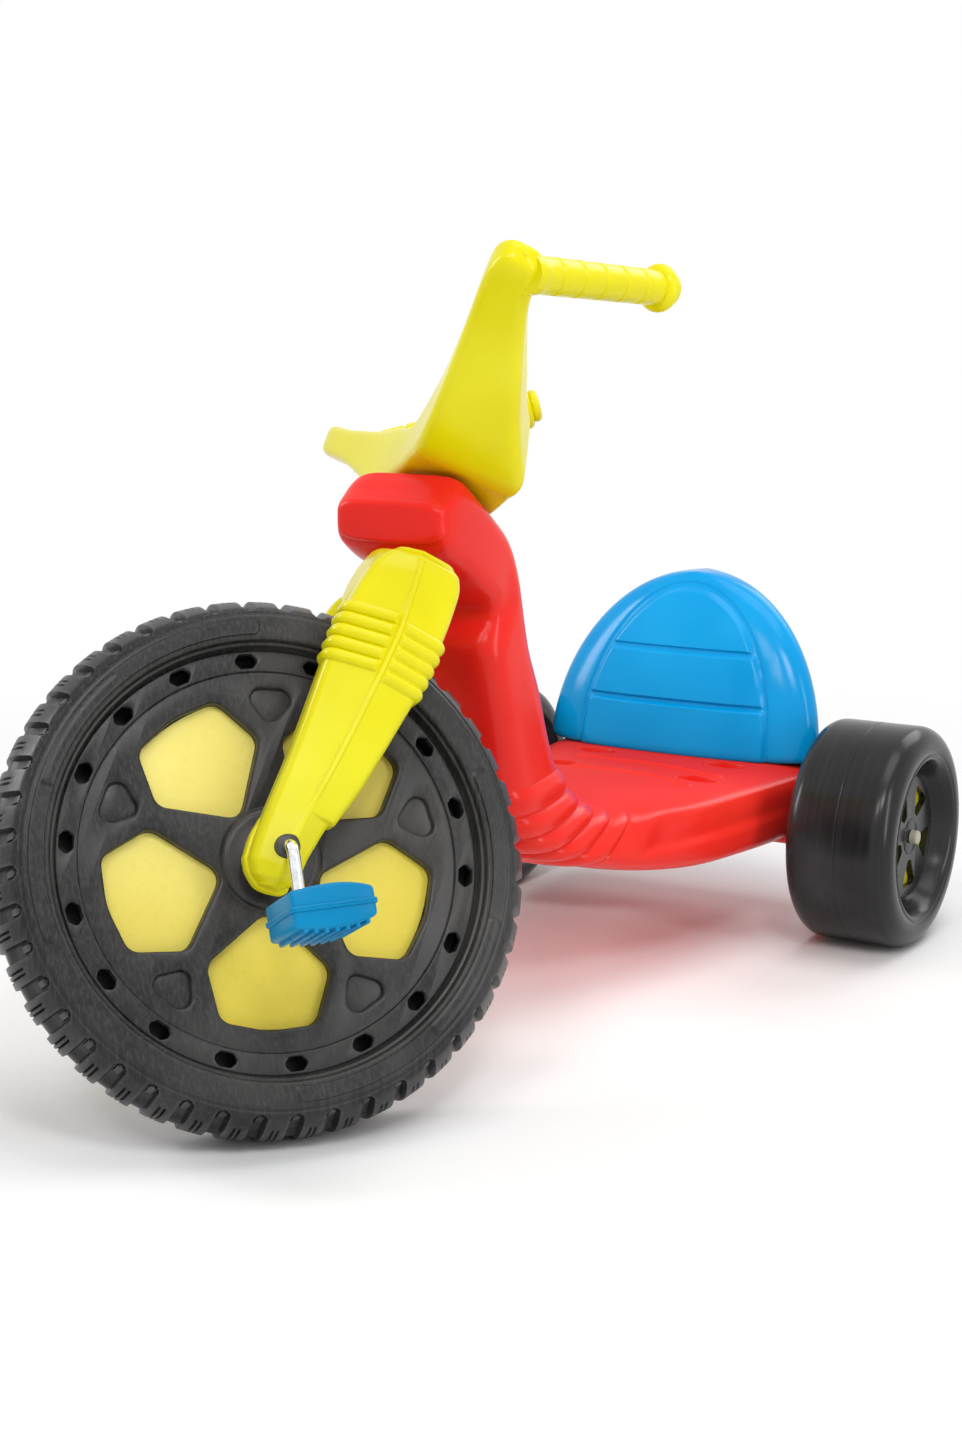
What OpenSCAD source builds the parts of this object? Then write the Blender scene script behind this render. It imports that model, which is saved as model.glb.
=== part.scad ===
// Low rider tricycle: a large pedalled front wheel in a raked fork, a high handlebar,
// a low moulded frame with a backrest and two wide rear wheels.
// Millimetres. +Z up, the front towards -Y, the rider's left towards +X, the ground at z = 0.
// The fork stands turned to the right, as in the photograph.

/* [Layout] */
// From the rear axle forward to the foot of the steering axis
steer_reach = 645.5; // [600:0.5:700]
// Backward lean of the steering axis from the vertical, degrees
rake = 35; // [25:0.5:45]
// Turn of the fork to the right in the stored pose, degrees
turn = 45; // [0:1:60]
// Front axle's place ahead of the steering axis
fork_offset = 25; // [0:1:40]
// From the rear axle forward to the middle of the whole length
mid_reach = 365.3; // [340:0.1:400]

/* [Front wheel] */
// Radius over the tread
wheel_r = 203.2; // [180:0.2:220]
// Half the width of the tyre at its widest
tyre_hw = 43; // [30:0.5:50]
// Height of the tread blocks
knob_h = 8; // [4:0.5:12]
// Half the width of the ring that carries the round holes
rim_hw = 24; // [18:0.5:32]
// Half the width of the disc between hub and ring
disc_hw = 21; // [15:0.5:28]
// Half the width of the hub
hub_hw = 31; // [24:0.5:40]
// Radius of the hub
hub_r = 38; // [25:0.5:45]
// Radius of the hub's nose beside the fork
hub_nose_r = 17; // [12:0.5:24]
// Rounding of the hub's rim
hub_round = 5; // [2:0.5:8]
// Radius of the ring of holes, in the wheel's radius
hole_ring_share = 0.7456; // [0.72:0.0002:0.76]
// Number of holes in the ring
hole_count = 18; // [12:1:24]
// Half the width of one hole across the ring
hole_r = 6; // [4:0.5:8]
// Length of the straight part of one hole along the ring
hole_run = 6; // [2:0.5:10]
// Depth of one hole
hole_deep = 9; // [4:0.5:14]
// Number of tread blocks on each shoulder
knob_count = 44; // [30:1:60]
// Gap between two tread blocks
knob_gap = 9; // [5:0.5:14]
// Angle of the first window from the steering axis, degrees
window_turn = 55; // [0:1:72]
// Angle of the first hole from the steering axis, degrees
hole_turn = 26.4; // [0:0.1:40]

/* [Windows] */
// Distance of a window's inner tip from the wheel's centre
window_in = 36.5; // [33:0.5:45]
// Distance of a window's side corners from the wheel's centre, along its middle
window_mid = 79; // [65:0.5:90]
// Half the width of a window at its side corners
window_hw = 47; // [30:0.5:52]
// Rim outside a window
window_rim_w = 22.85; // [15:0.05:35]
// Half the width of a window at its outer corners
window_out_hw = 36; // [25:0.5:42]
// Rise of a window's outer edge in its middle
window_bow = 6; // [0:0.5:10]
// Corner radius of a window
window_round = 12; // [4:0.5:16]
// Depth of a window's pocket
window_deep = 4; // [2:0.5:6]
// Thickness of the panel that lies in a window
panel_t = 2; // [1:0.5:3]
// Rim outside the middle of a small recess
notch_rim_w = 23.85; // [15:0.05:35]
// Half the width of a small recess
notch_hw = 18; // [10:0.5:22]
// Height of a small recess
notch_h = 25; // [15:0.5:30]
// Corner radius of a small recess
notch_round = 6; // [2:0.5:8]
// Depth of a small recess
notch_deep = 3; // [1:0.5:5]

/* [Crank and pedals] */
// Radius of the bent steel rod
rod_r = 4.75; // [4:0.05:6]
// Distance from the wheel's centre to the arm of the crank, along the axle
arm_out = 94; // [88:0.5:105]
// Radius of the bends in the rod, to its middle
bend_r = 9; // [7:0.5:14]
// Throw of the crank
crank_throw = 58; // [45:0.5:75]
// Angle of the left arm back from straight down, degrees
crank_turn = 27; // [-180:1:180]
// Length of a pedal along its pin
pedal_len = 72; // [60:0.5:95]
// Width of a pedal across its pin
pedal_w = 59; // [55:0.5:90]
// Thickness of a pedal in its middle
pedal_mid_t = 31; // [26:0.5:40]
// Thickness of a pedal at its front edge
pedal_front_t = 26; // [16:0.5:34]
// Thickness of a pedal at its rear edge
pedal_rear_t = 20; // [14:0.5:30]
// Turn of the pedals about their pins, degrees
pedal_tilt = 28; // [0:1:90]
// Height of the band round the middle of a pedal
band_h = 4; // [2:0.5:6]
// Height of the band's face above the pedal
band_out = 1.5; // [0.5:0.1:3]
// Number of tread bars under a pedal
tread_count = 7; // [4:1:9]
// Height of a tread bar
tread_h = 2.5; // [1:0.1:4]
// Width of a tread bar
tread_w = 3; // [2:0.1:5]
// Wall left beyond the end of a pedal pin
pedal_wall = 8; // [5:0.5:12]
// Thickness of the washer between crank and pedal
washer_t = 2; // [1:0.1:4]
// Radius of that washer
washer_r = 9; // [7:0.1:14]

/* [Fork] */
// Rise of the legs above the tread
leg_rise_h = 50.8; // [40:0.2:60]
// Depth of the legs' foot below the axle
leg_foot = 28; // [20:0.5:35]
// Inner face of a leg, from the middle of the wheel
leg_in = 50; // [46:0.5:56]
// Ridge of a leg, from the middle of the wheel
leg_ridge = 88; // [78:0.5:95]
// Length that the leg's outline is drawn in
leg_w = 88; // [70:0.5:100]
// Corner radius of a leg
leg_round = 9; // [4:0.5:12]
// Height of a moulded rib on the legs
rib_h = 2.4; // [1:0.1:4]
// Distance from one moulded rib to the next
rib_pitch = 10.4; // [7:0.1:12]
// Depth of the lowest rib below the legs' top
rib_drop_h = 108; // [95:0.5:130]
// Number of ribs
rib_count = 5; // [3:1:8]
// Height of the step in the legs' rear face above the axle
step_z = 30; // [15:0.5:50]
// Depth of that step
step_deep = 4; // [1:0.5:8]
// Place of the crown's middle behind the steering axis
crown_y = -2; // [-10:0.5:10]
// Step from the legs' top down to the crown
crown_step = 2; // [0:0.5:10]
// Gap between the tread and the crown
tread_gap = 6.8; // [4:0.1:12]
// Radius of the boss on the crown
boss_r = 17.5; // [16:0.5:26]
// Radius of the bush that carries the crank in a leg
crank_bush_r = 9; // [7:0.5:12]
// Thickness of that bush's outer flange
crank_flange_t = 2; // [1:0.1:3]
// Radius of that bush's outer flange
crank_flange_r = 12; // [10:0.5:15]

/* [Steering column] */
// Radius of the steering stem
stem_r = 11; // [9:0.1:14]
// Depth of the stem in the crown
stem_sink = 30; // [15:0.5:40]
// Height of the stem in the handlebar
stem_rise = 28; // [15:0.5:38]
// Wall of the bushes in the head
bush_wall = 2.5; // [2:0.1:5]
// Thickness of a bush's flange
bush_flange_t = 2; // [1:0.1:3]
// Overhang of a bush's flange
bush_lip = 2.5; // [1.5:0.5:6]
// Length of a bush in the head
bush_len = 18; // [10:0.5:25]
// Radius of the screw that holds the handlebar
screw_r = 4; // [3:0.1:6]
// Radius of that screw's head
screw_head_r = 8; // [6:0.1:10]
// Height of that screw's head
screw_head_h = 5; // [3:0.1:8]
// Depth of that screw in the stem
screw_sink = 24; // [12:0.5:40]

/* [Handlebar] */
// Half the width over the arms
bar_hw = 222; // [190:0.5:240]
// Depth of the middle, front to back
bar_deep = 87; // [70:0.5:100]
// Rise of the arms' ends above the handlebar's underside
bar_rise = 116; // [90:0.5:140]
// Turn of the handlebar to the left against the fork, degrees
bar_turn = 2.5; // [-10:0.5:10]
// Radius of a grip
grip_r = 14.4; // [10:0.1:17]
// Length of a grip from the middle of the arm's end
grip_len = 165; // [110:0.5:190]
// Place of a grip's root across the trike
grip_x = 205; // [170:0.5:220]
// Place of a grip's root behind the steering axis
grip_y = -21.5; // [-40:0.5:20]
// Height of a grip's root above the handlebar's underside
grip_rise_h = 94.3; // [80:0.1:110]
// Turn of a grip towards the middle, degrees
grip_toe = 30; // [0:0.5:40]
// Rise of a grip from square to the steering axis, degrees
grip_lift = 30; // [0:0.1:45]
// Number of segments on a grip
grip_segments = 5; // [3:1:7]
// Depth of the grooves between segments
grip_groove = 1.2; // [0.5:0.1:2]
// Radius of a grip's end flange
grip_flange_r = 19; // [14:0.5:22]

/* [Frame] */
// Length that the frame's outline is drawn in
frame_len = 500; // [450:1:550]
// Gap between the frame's widest outline and a rear wheel
frame_side_gap = 24; // [15:0.5:40]
// Length of the head along the steering axis
head_len = 62; // [50:0.5:75]
// Gap between the legs' top and the head
head_gap = 21; // [16:0.5:30]
// Height of a rib on the neck's bellows
neck_rib_share = 0.035; // [0.01:0.005:0.08]
// Length of a slot for the seat
slot_len = 40; // [25:0.5:50]
// Width of a slot for the seat
slot_w = 16; // [8:0.5:20]
// Depth of a slot for the seat
slot_deep = 9; // [4:0.5:14]
// Distance of the slots from the middle
slot_x = 70; // [50:0.5:90]
// Place of the rearmost slots ahead of the rear axle
slot_y = 24; // [15:0.5:40]
// Distance from one pair of slots to the next
slot_pitch = 66.5; // [50:0.5:80]
// Height of the deck, in the length that the frame is drawn in
deck_share = 0.314; // [0.28:0.002:0.34]

/* [Seat] */
// Height of the backrest above the deck
seat_h = 173; // [140:0.5:200]
// Gap between the backrest and a rear wheel
seat_side_gap = 20; // [12:0.5:40]
// Depth of the backrest at its foot
seat_deep = 62; // [45:0.5:80]
// Backward lean of the backrest over its height
seat_lean = 42; // [20:0.5:60]
// Depth of the grooves round and across the padded panel
seat_groove = 3; // [1:0.1:5]
// Border of the backrest beside the padded panel's foot
panel_border_w = 46; // [25:0.5:60]
// Height of the padded panel
panel_h = 156; // [120:0.5:165]
// Width of the grooves across the padded panel
cross_w = 5; // [2:0.5:8]
// Radius of the bolts that hold the seat
bolt_r = 4; // [3:0.1:6]
// Radius of the heads of the seat bolts
bolt_head_r = 9; // [6:0.1:12]
// Thickness of the heads of the seat bolts
bolt_head_t = 4; // [2:0.1:6]
// Depth of the seat bolts in the seat
bolt_sink = 22; // [10:0.5:30]
// Distance of the seat bolts from the middle
bolt_x = 60; // [40:0.5:80]
// Place of the seat bolts behind the rear axle
bolt_y = 40; // [30:0.5:50]

/* [Rear wheels] */
// Radius of a rear wheel
rear_r = 104; // [90:0.5:120]
// Width of a rear wheel
rear_w = 103; // [80:0.5:115]
// Width over both rear wheels
track = 534; // [480:1:560]
// Radius of the rounded shoulders
rear_round = 15; // [6:0.5:22]
// Wall between the dish and the tread
dish_wall_t = 30; // [20:0.5:40]
// Depth of the dish
dish_deep = 26; // [15:0.5:40]
// Gap between the hub face and the dish's edge
dish_gap = 16; // [10:0.5:25]
// Thickness of the hub face
spoke_t = 7; // [4:0.5:10]
// Thickness of the yellow disc behind the spokes
disc_t = 2; // [1:0.1:4]
// Number of spokes
spoke_count = 5; // [3:1:7]
// Radius of the rear axle
axle_r = 5; // [4:0.1:8]
// Rear axle's length short of the width over both rear wheels
axle_short_len = 22; // [10:0.5:40]
// Radius of the caps on the rear axle
cap_r = 9; // [6:0.5:14]
// Length of a cap on the rear axle
cap_len = 10; // [6:0.5:16]
// Radius of the spacers between frame and rear wheels
spacer_r = 14; // [9:0.5:22]
// Radius of the bosses on the frame round the rear axle
axle_boss_r = 22; // [16:0.5:30]
// Room for a spacer between frame and rear wheel
spacer_len = 21; // [10:0.5:30]

/* [Fits] */
// Radial clearance of turning shafts
run_gap = 0.08; // [0.02:0.01:0.1]
// Clearance between seated pieces
seat_gap = 0.3; // [0.1:0.05:0.5]
// Side clearance of turning pieces
side_gap = 0.6; // [0.3:0.1:1.5]
// Overrun of cuts
over = 5; // [1:0.5:10]

/* [Hidden] */
$fn = 64;

red = [0.93, 0.12, 0.13];
yellow = [0.95, 0.91, 0.08];
gold = [0.92, 0.83, 0.28];
blue = [0.0, 0.58, 0.85];
black = [0.13, 0.13, 0.13];
steel = [0.75, 0.76, 0.78];
cream = [0.9, 0.88, 0.78];

window_count = 5;
window_step = 360 / window_count;
face_x = track / 2;
inner_x = face_x - rear_w;
axle_boss_hw = inner_x - spacer_len;
axle_len = track - axle_short_len;
frame_hw = inner_x - frame_side_gap;
deck_z = deck_share * frame_len;
seat_hw = inner_x - seat_side_gap;
panel_hw = seat_hw - panel_border_w;
dish_r = rear_r - dish_wall_t;
spoke_r = dish_r - dish_gap;
leg_top = wheel_r + leg_rise_h;
rib_foot = leg_top - rib_drop_h;
crown_low = wheel_r + tread_gap;
head_low = leg_top + head_gap;
head_top = head_low + head_len;
dish_x = face_x - dish_deep;
pin_start = arm_out + bend_r;
pedal_in = pin_start + washer_t + 2 * seat_gap;
pedal_out = pedal_in + pedal_len;
boss_top = head_low - bush_flange_t - side_gap;
bar_low = head_top + bush_flange_t + 2 * side_gap;
grip_z = bar_low + grip_rise_h;
rod_bore = rod_r + run_gap;
stem_bore = stem_r + run_gap;
axle_bore = axle_r + run_gap;
bush_r = stem_bore + bush_wall;

// Tyre's outline from the rim to the crown: radius in wheel_r, half-width in tyre_hw
tyre_shares = [
    [0.788, 0.86], [0.8, 0.95], [0.83, 0.99], [0.86, 1], [0.882, 0.985], [0.889, 0.945], [0.9, 0.95],
    [0.912, 0.92], [0.936, 0.78], [0.963, 0.6], [0.984, 0.4], [0.9965, 0.2], [1, 0]
];
ring_in_share = 0.703;
ring_out_share = 0.772;
hole_ring_r = hole_ring_share * wheel_r;
window_out = ring_in_share * wheel_r - window_rim_w;
notch_r = ring_in_share * wheel_r - notch_rim_w;
groove_share = 0.9;
knob_in_share = 0.43;
knob_foot_share = 0.905;
knob_mid_share = 0.24;

// The turned wheel leans: the tyre's lowest point sets the height of the steering axis
lean = sin(rake) * sin(turn);
tyre_low = max([for (t = tyre_shares) t.x * wheel_r * sqrt(1 - lean * lean) + t.y * tyre_hw * lean]);
steer_foot = tyre_low - fork_offset * cos(turn) * sin(rake);

// Power that keeps the sign of its base
function spow(v, e) = sign(v) * pow(abs(v), e);

// Closed ring of count points round c: half-sizes hu and hw along u and w, squareness k
function ring(c, u, w, hu, hw, k, count) = [
    for (i = [0:count - 1])
        let (t = 360 * (i + 0.5) / count)
            c + u * hu * spow(cos(t), 2 / k) + w * hw * spow(sin(t), 2 / k)
];

// Row of a table at a place between two rows, on a smooth curve through the rows
function row_at(tab, t) =
    let (
        last = len(tab) - 1,
        i = min(floor(t), last - 1),
        f = t - i,
        a = tab[max(i - 1, 0)],
        b = tab[i],
        c = tab[i + 1],
        d = tab[min(i + 2, last)]
    )
    b + 0.5 * f * (c - a + f * (2 * a - 5 * b + 4 * c - d + f * (3 * (b - c) + d - a)));

// Point where the edges before and after a corner meet, both moved inwards by d
function moved_corner(a, b, c, d) =
    let (
        e1 = (b - a) / norm(b - a),
        e2 = (c - b) / norm(c - b),
        n1 = [-e1.y, e1.x],
        n2 = [-e2.y, e2.x]
    )
    b + d * (n1 + n2) / (1 + n1 * n2);

// Outline moved inwards by d
function inset(pts, d) = [
    for (i = [0:len(pts) - 1])
        moved_corner(pts[(i + len(pts) - 1) % len(pts)], pts[i], pts[(i + 1) % len(pts)], d)
];

// One rounded corner with steps + 1 points
function corner(a, b, c, r, steps) =
    let (
        e1 = (a - b) / norm(a - b),
        e2 = (c - b) / norm(c - b),
        half = acos(e1 * e2) / 2,
        m = b + (e1 + e2) / norm(e1 + e2) * r / sin(half),
        p = b + e1 * r / tan(half),
        q = b + e2 * r / tan(half),
        a1 = atan2(p.y - m.y, p.x - m.x),
        a2 = atan2(q.y - m.y, q.x - m.x),
        turn_by = ((a2 - a1 + 540) % 360) - 180
    )
    [for (k = [0:steps]) m + r * [cos(a1 + turn_by * k / steps), sin(a1 + turn_by * k / steps)]];

// Outline with every corner rounded, one radius for each corner
function rounded(pts, radii, steps) = [
    for (i = [0:len(pts) - 1])
        each corner(pts[(i + len(pts) - 1) % len(pts)], pts[i], pts[(i + 1) % len(pts)], radii[i], steps)
];

// Skin over rings that all have the same number of points
module loft(rings) {
    count = len(rings[0]);
    last = len(rings) - 1;
    points = [for (r = rings) each r];
    sides = [
        for (j = [0:last - 1], i = [0:count - 1])
            let (a = j * count + i, b = j * count + (i + 1) % count)
                each [[a, b + count, b], [a, a + count, b + count]]
    ];
    start = [for (i = [0:count - 1]) i];
    end = [for (i = [count - 1:-1:0]) last * count + i];
    polyhedron(points, concat([start], sides, [end]));
}

// Frame coordinates, with the rear axle over y = 0
module at_frame() {
    translate([0, mid_reach, 0]) children();
}

// Steering coordinates at rest straight ahead: z along the axis, y to the rear
module at_head() {
    at_frame()
        translate([0, -steer_reach, steer_foot])
            rotate([-rake, 0, 0])
                children();
}

// Steering coordinates as stored, with the fork turned
module at_fork() {
    at_head() rotate([0, 0, -turn]) children();
}

// Steering coordinates turned with the handlebar
module at_bar() {
    at_fork() rotate([0, 0, bar_turn]) children();
}

// Wheel coordinates: z along the front axle towards the left, x towards the fork's foot
module at_wheel() {
    at_fork() translate([0, -fork_offset, 0]) rotate([0, 90, 0]) children();
}

// Crank coordinates: the left arm points to -z
module at_crank() {
    at_fork() translate([0, -fork_offset, 0]) rotate([crank_turn, 0, 0]) children();
}

// One side of the crank or of the pedals: 0 is the left, 1 the right
module crank_side(side) {
    at_crank() rotate([180 * side, 0, 0]) mirror([side, 0, 0]) children();
}

// One side of the trike: 0 is the left, 1 the right
module mirrored(side) {
    mirror([side, 0, 0]) children();
}

// Frame

// Lower and upper edge of the frame from the head to the tail, in frame_len from the rear axle
// and the ground, then the half-width in frame_hw and the squareness
frame_shares = [
    [-1.01, 0.836, -1.01, 0.894, 0.321, 5], [-1.006, 0.818, -1, 0.912, 0.364, 6],
    [-0.98, 0.801, -0.954, 0.938, 0.375, 6], [-0.928, 0.774, -0.908, 0.912, 0.378, 5.5],
    [-0.886, 0.746, -0.852, 0.873, 0.378, 5], [-0.843, 0.72, -0.804, 0.834, 0.378, 4.5],
    [-0.832, 0.697, -0.772, 0.78, 0.38, 4.2], [-0.839, 0.676, -0.751, 0.72, 0.382, 4],
    [-0.848, 0.654, -0.737, 0.67, 0.386, 4], [-0.852, 0.624, -0.723, 0.626, 0.391, 4],
    [-0.852, 0.56, -0.695, 0.564, 0.402, 4], [-0.848, 0.48, -0.667, 0.486, 0.413, 3.8],
    [-0.838, 0.41, -0.64, 0.428, 0.428, 3.6], [-0.81, 0.35, -0.605, 0.382, 0.45, 3.5],
    [-0.768, 0.305, -0.568, 0.35, 0.475, 3.6], [-0.71, 0.271, -0.527, 0.33, 0.509, 3.8],
    [-0.644, 0.247, -0.486, 0.32, 0.557, 4], [-0.574, 0.226, -0.45, 0.316, 0.629, 4.3],
    [-0.5, 0.208, -0.416, 0.315, 0.707, 4.6], [-0.41, 0.192, -0.37, 0.314, 0.793, 4.6],
    [-0.31, 0.182, -0.3, 0.314, 0.871, 4.6], [-0.19, 0.176, -0.19, 0.314, 0.936, 4.6],
    [-0.06, 0.173, -0.06, 0.314, 0.979, 4.6], [0.06, 0.174, 0.06, 0.314, 0.993, 4.6],
    [0.132, 0.184, 0.132, 0.312, 0.964, 4], [0.16, 0.204, 0.16, 0.298, 0.871, 3.2]
];
bellows_from = 12;
bellows_to = 16.5;
bellows_count = 5;
bellows_step = (bellows_to - bellows_from) / (4 * bellows_count);
frame_points = 28;
frame_stops = concat(
    [for (t = [0:0.5:bellows_from - 0.5]) t],
    [for (k = [0:4 * bellows_count]) bellows_from + k * bellows_step],
    [for (t = [bellows_to + 0.5:0.5:len(frame_shares) - 1]) t]
);

// The frame's head as drawn, and how far the steering head carries it from there
head_y_share = -0.94;
head_z_share = 0.8605;
head_mid = (head_low + head_top) / 2;
head_pull = [0, -steer_reach, steer_foot] + head_mid * [0, sin(rake), cos(rake)]
    - frame_len * [0, head_y_share, head_z_share];
pull_whole = 13;
pull_none = 20;

// Share of that way at a place along the frame
function pull(t) =
    let (way = min(max((t - pull_whole) / (pull_none - pull_whole), 0), 1))
    (1 + cos(180 * way)) / 2;

// Swell of the bellows at a place along the frame
function bellows(t) =
    t < bellows_from || t > bellows_to
        ? 1
        : let (way = (t - bellows_from) / (bellows_to - bellows_from))
            1 + neck_rib_share * (1 - cos(360 * bellows_count * way)) / 2;

function frame_ring(t) =
    let (
        r = row_at(frame_shares, t),
        low = [0, r[0], r[1]] * frame_len + pull(t) * head_pull,
        high = [0, r[2], r[3]] * frame_len + pull(t) * head_pull,
        across = high - low
    )
    ring(
        (low + high) / 2, [-1, 0, 0], across / norm(across),
        r[4] * frame_hw * bellows(t), norm(across) / 2 * bellows(t), r[5], frame_points
    );

module slot_cut(x, y) {
    half_run = (slot_len - slot_w) / 2;
    translate([x, y, deck_z - slot_deep]) {
        for (e = [-1, 1])
            translate([e * half_run, 0, 0]) cylinder(h = slot_deep + over, d = slot_w);
        translate([-half_run, -slot_w / 2, 0]) cube([2 * half_run, slot_w, slot_deep + over]);
    }
}

module head_cuts() {
    face_r = max(bush_r + bush_lip, boss_r) + side_gap;
    translate([0, 0, head_low - over])
        cylinder(h = head_top - head_low + 2 * over, r = bush_r + seat_gap);
    translate([0, 0, head_top]) cylinder(h = 2 * over, r = face_r);
    translate([0, 0, head_low - 2 * over]) cylinder(h = 2 * over, r = face_r);
}

module frame_body() {
    color(red)
        difference() {
            at_frame() {
                loft([for (t = frame_stops) frame_ring(t)]);
                translate([-axle_boss_hw, 0, rear_r])
                    rotate([0, 90, 0]) cylinder(h = 2 * axle_boss_hw, r = axle_boss_r);
            }
            at_head() head_cuts();
            at_frame() {
                translate([-axle_boss_hw - over, 0, rear_r])
                    rotate([0, 90, 0]) cylinder(h = 2 * (axle_boss_hw + over), r = axle_r + seat_gap);
                for (x = [-slot_x, slot_x], k = [0, 1])
                    slot_cut(x, -slot_y - k * slot_pitch);
                for (x = [-bolt_x, bolt_x])
                    translate([x, bolt_y, 0]) cylinder(h = deck_z + over, r = bolt_r + seat_gap);
            }
        }
}

// Flanged bush, its flange down at z = 0 and its tube upwards
module head_bush() {
    difference() {
        union() {
            cylinder(h = bush_flange_t, r = bush_r + bush_lip);
            cylinder(h = bush_flange_t + bush_len, r = bush_r);
        }
        translate([0, 0, -over]) cylinder(h = bush_flange_t + bush_len + 2 * over, r = stem_bore);
    }
}

module head_bush_lower() {
    color(cream)
        at_head() translate([0, 0, head_low - bush_flange_t]) head_bush();
}

module head_bush_upper() {
    color(cream)
        at_head() translate([0, 0, head_top + bush_flange_t]) rotate([180, 0, 0]) head_bush();
}

// Seat

seat_points = 36;
seat_stop_shares = [
    0, 0.02, 0.05, 0.1, 0.18, 0.27, 0.36, 0.45, 0.54, 0.63, 0.71, 0.78, 0.84, 0.89, 0.93, 0.96, 0.98, 0.993
];
dome_power = 1.96;
foot_share = 0.89;
foot_run_share = 0.1;
lean_power = 1.2;
crown_deep_share = 0.42;
seat_square = 2.5;

// Half-width of a dome at a share of its height
function dome(h) = sqrt(1 - pow(h, dome_power));

// Drawn-in foot of the backrest
function foot(h) = foot_share + (1 - foot_share) * sin(90 * min(h / foot_run_share, 1));

// Backrest's ring at a share of its height
function seat_ring(h) =
    let (
        deep = seat_deep * (crown_deep_share + (1 - crown_deep_share) * dome(h)) * foot(h),
        front = seat_lean * pow(h, lean_power)
    )
    ring(
        [0, front + seat_deep * foot_share / 2, deck_z + seat_gap + h * seat_h], [1, 0, 0], [0, 1, 0],
        seat_hw * dome(h) * foot(h), deep / 2, seat_square, seat_points
    );

panel_steps = 12;
cross_low_share = 0.3;
cross_high_share = 0.62;

// Point of the padded panel's arch on its left half
function arch_point(k) =
    let (h = sin(90 * k / panel_steps))
        [panel_hw * dome(h), panel_h * h];

// Arched outline of the padded panel, its foot below the seat's
module panel_arch() {
    polygon(concat(
        [[panel_hw, -over], [panel_hw, 0]],
        [for (k = [1:panel_steps - 1]) arch_point(k)],
        [[0, panel_h]],
        [for (k = [panel_steps - 1:-1:1]) let (q = arch_point(k)) [-q.x, q.y]],
        [[-panel_hw, 0], [-panel_hw, -over]]
    ));
}

// Padded panel: the backrest's own front moved forward, cut to the arch and across
module seat_panel() {
    intersection() {
        translate([0, -seat_groove, 0]) loft([for (h = seat_stop_shares) seat_ring(h)]);
        translate([0, seat_lean + over, deck_z + seat_gap])
            rotate([90, 0, 0])
                linear_extrude(2 * seat_lean + 2 * over)
                    difference() {
                        panel_arch();
                        for (h = [cross_low_share, cross_high_share])
                            translate([-panel_hw - over, h * panel_h])
                                square([2 * (panel_hw + over), cross_w]);
                    }
    }
}

module seat() {
    color(blue)
        at_frame()
            difference() {
                union() {
                    loft([for (h = seat_stop_shares) seat_ring(h)]);
                    seat_panel();
                }
                for (x = [-bolt_x, bolt_x])
                    translate([x, bolt_y, deck_z - over])
                        cylinder(h = bolt_sink + over + 2 * seat_gap, r = bolt_r + run_gap);
            }
}

module seat_bolt(x) {
    low = frame_low();
    color(steel)
        at_frame()
            translate([x, bolt_y, low - bolt_head_t - seat_gap]) {
                cylinder(h = bolt_head_t, r = bolt_head_r);
                cylinder(h = deck_z + bolt_sink - low + bolt_head_t, r = bolt_r);
            }
}

bolt_row = 23;

// Height of the frame's underside at the seat bolts
function frame_low() = row_at(frame_shares, bolt_row)[1] * frame_len;

module seat_bolt_left() {
    seat_bolt(bolt_x);
}

module seat_bolt_right() {
    seat_bolt(-bolt_x);
}

// Rear axle and wheels

module along_x() {
    rotate([0, 90, 0]) children();
}

module rear_axle() {
    color(steel)
        at_frame() translate([-axle_len / 2, 0, rear_r]) along_x() cylinder(h = axle_len, r = axle_r);
}

hub_out = dish_x + 2 * seat_gap + disc_t + spoke_t;

module axle_cap() {
    color(cream)
        translate([hub_out + side_gap, 0, rear_r])
            along_x()
                difference() {
                    cylinder(h = cap_len, r = cap_r);
                    translate([0, 0, -over])
                        cylinder(h = axle_len / 2 - hub_out - side_gap + over + seat_gap, r = axle_bore);
                }
}

module axle_cap_left() {
    at_frame() mirrored(0) axle_cap();
}

module axle_cap_right() {
    at_frame() mirrored(1) axle_cap();
}

module spacer() {
    color(steel)
        translate([axle_boss_hw + seat_gap, 0, rear_r])
            along_x()
                difference() {
                    cylinder(h = inner_x - axle_boss_hw - seat_gap - side_gap, r = spacer_r);
                    translate([0, 0, -over]) cylinder(h = rear_w, r = axle_bore);
                }
}

module spacer_left() {
    at_frame() mirrored(0) spacer();
}

module spacer_right() {
    at_frame() mirrored(1) spacer();
}

shoulder_steps = 6;
dish_lip_share = 0.9;
dish_floor_share = 0.82;
back_dish_share = 0.14;

// Quarter round of a shoulder about c from one angle to another
function shoulder(c, a1, a2) = [
    for (k = [0:shoulder_steps])
        let (a = a1 + (a2 - a1) * k / shoulder_steps)
            c + rear_round * [cos(a), sin(a)]
];

module rear_tyre() {
    floor_z = rear_w - dish_deep;
    back_z = rear_w * back_dish_share;
    color(black)
        translate([inner_x, 0, rear_r])
            along_x()
                rotate_extrude($fn = 96)
                    polygon(concat(
                        [[axle_bore, 0], [spacer_r + over, 0], [spacer_r + 2 * over, back_z]],
                        [[dish_r, back_z], [dish_r + over, 0]],
                        shoulder([rear_r - rear_round, rear_round], -90, 0),
                        shoulder([rear_r - rear_round, rear_w - rear_round], 0, 90),
                        [[dish_r, rear_w], [dish_r * dish_lip_share, rear_w - dish_deep / 3]],
                        [[dish_r * dish_floor_share, floor_z], [axle_bore, floor_z]]
                    ));
}

module rear_tyre_left() {
    at_frame() mirrored(0) rear_tyre();
}

module rear_tyre_right() {
    at_frame() mirrored(1) rear_tyre();
}

disc_share = 0.93;

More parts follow.
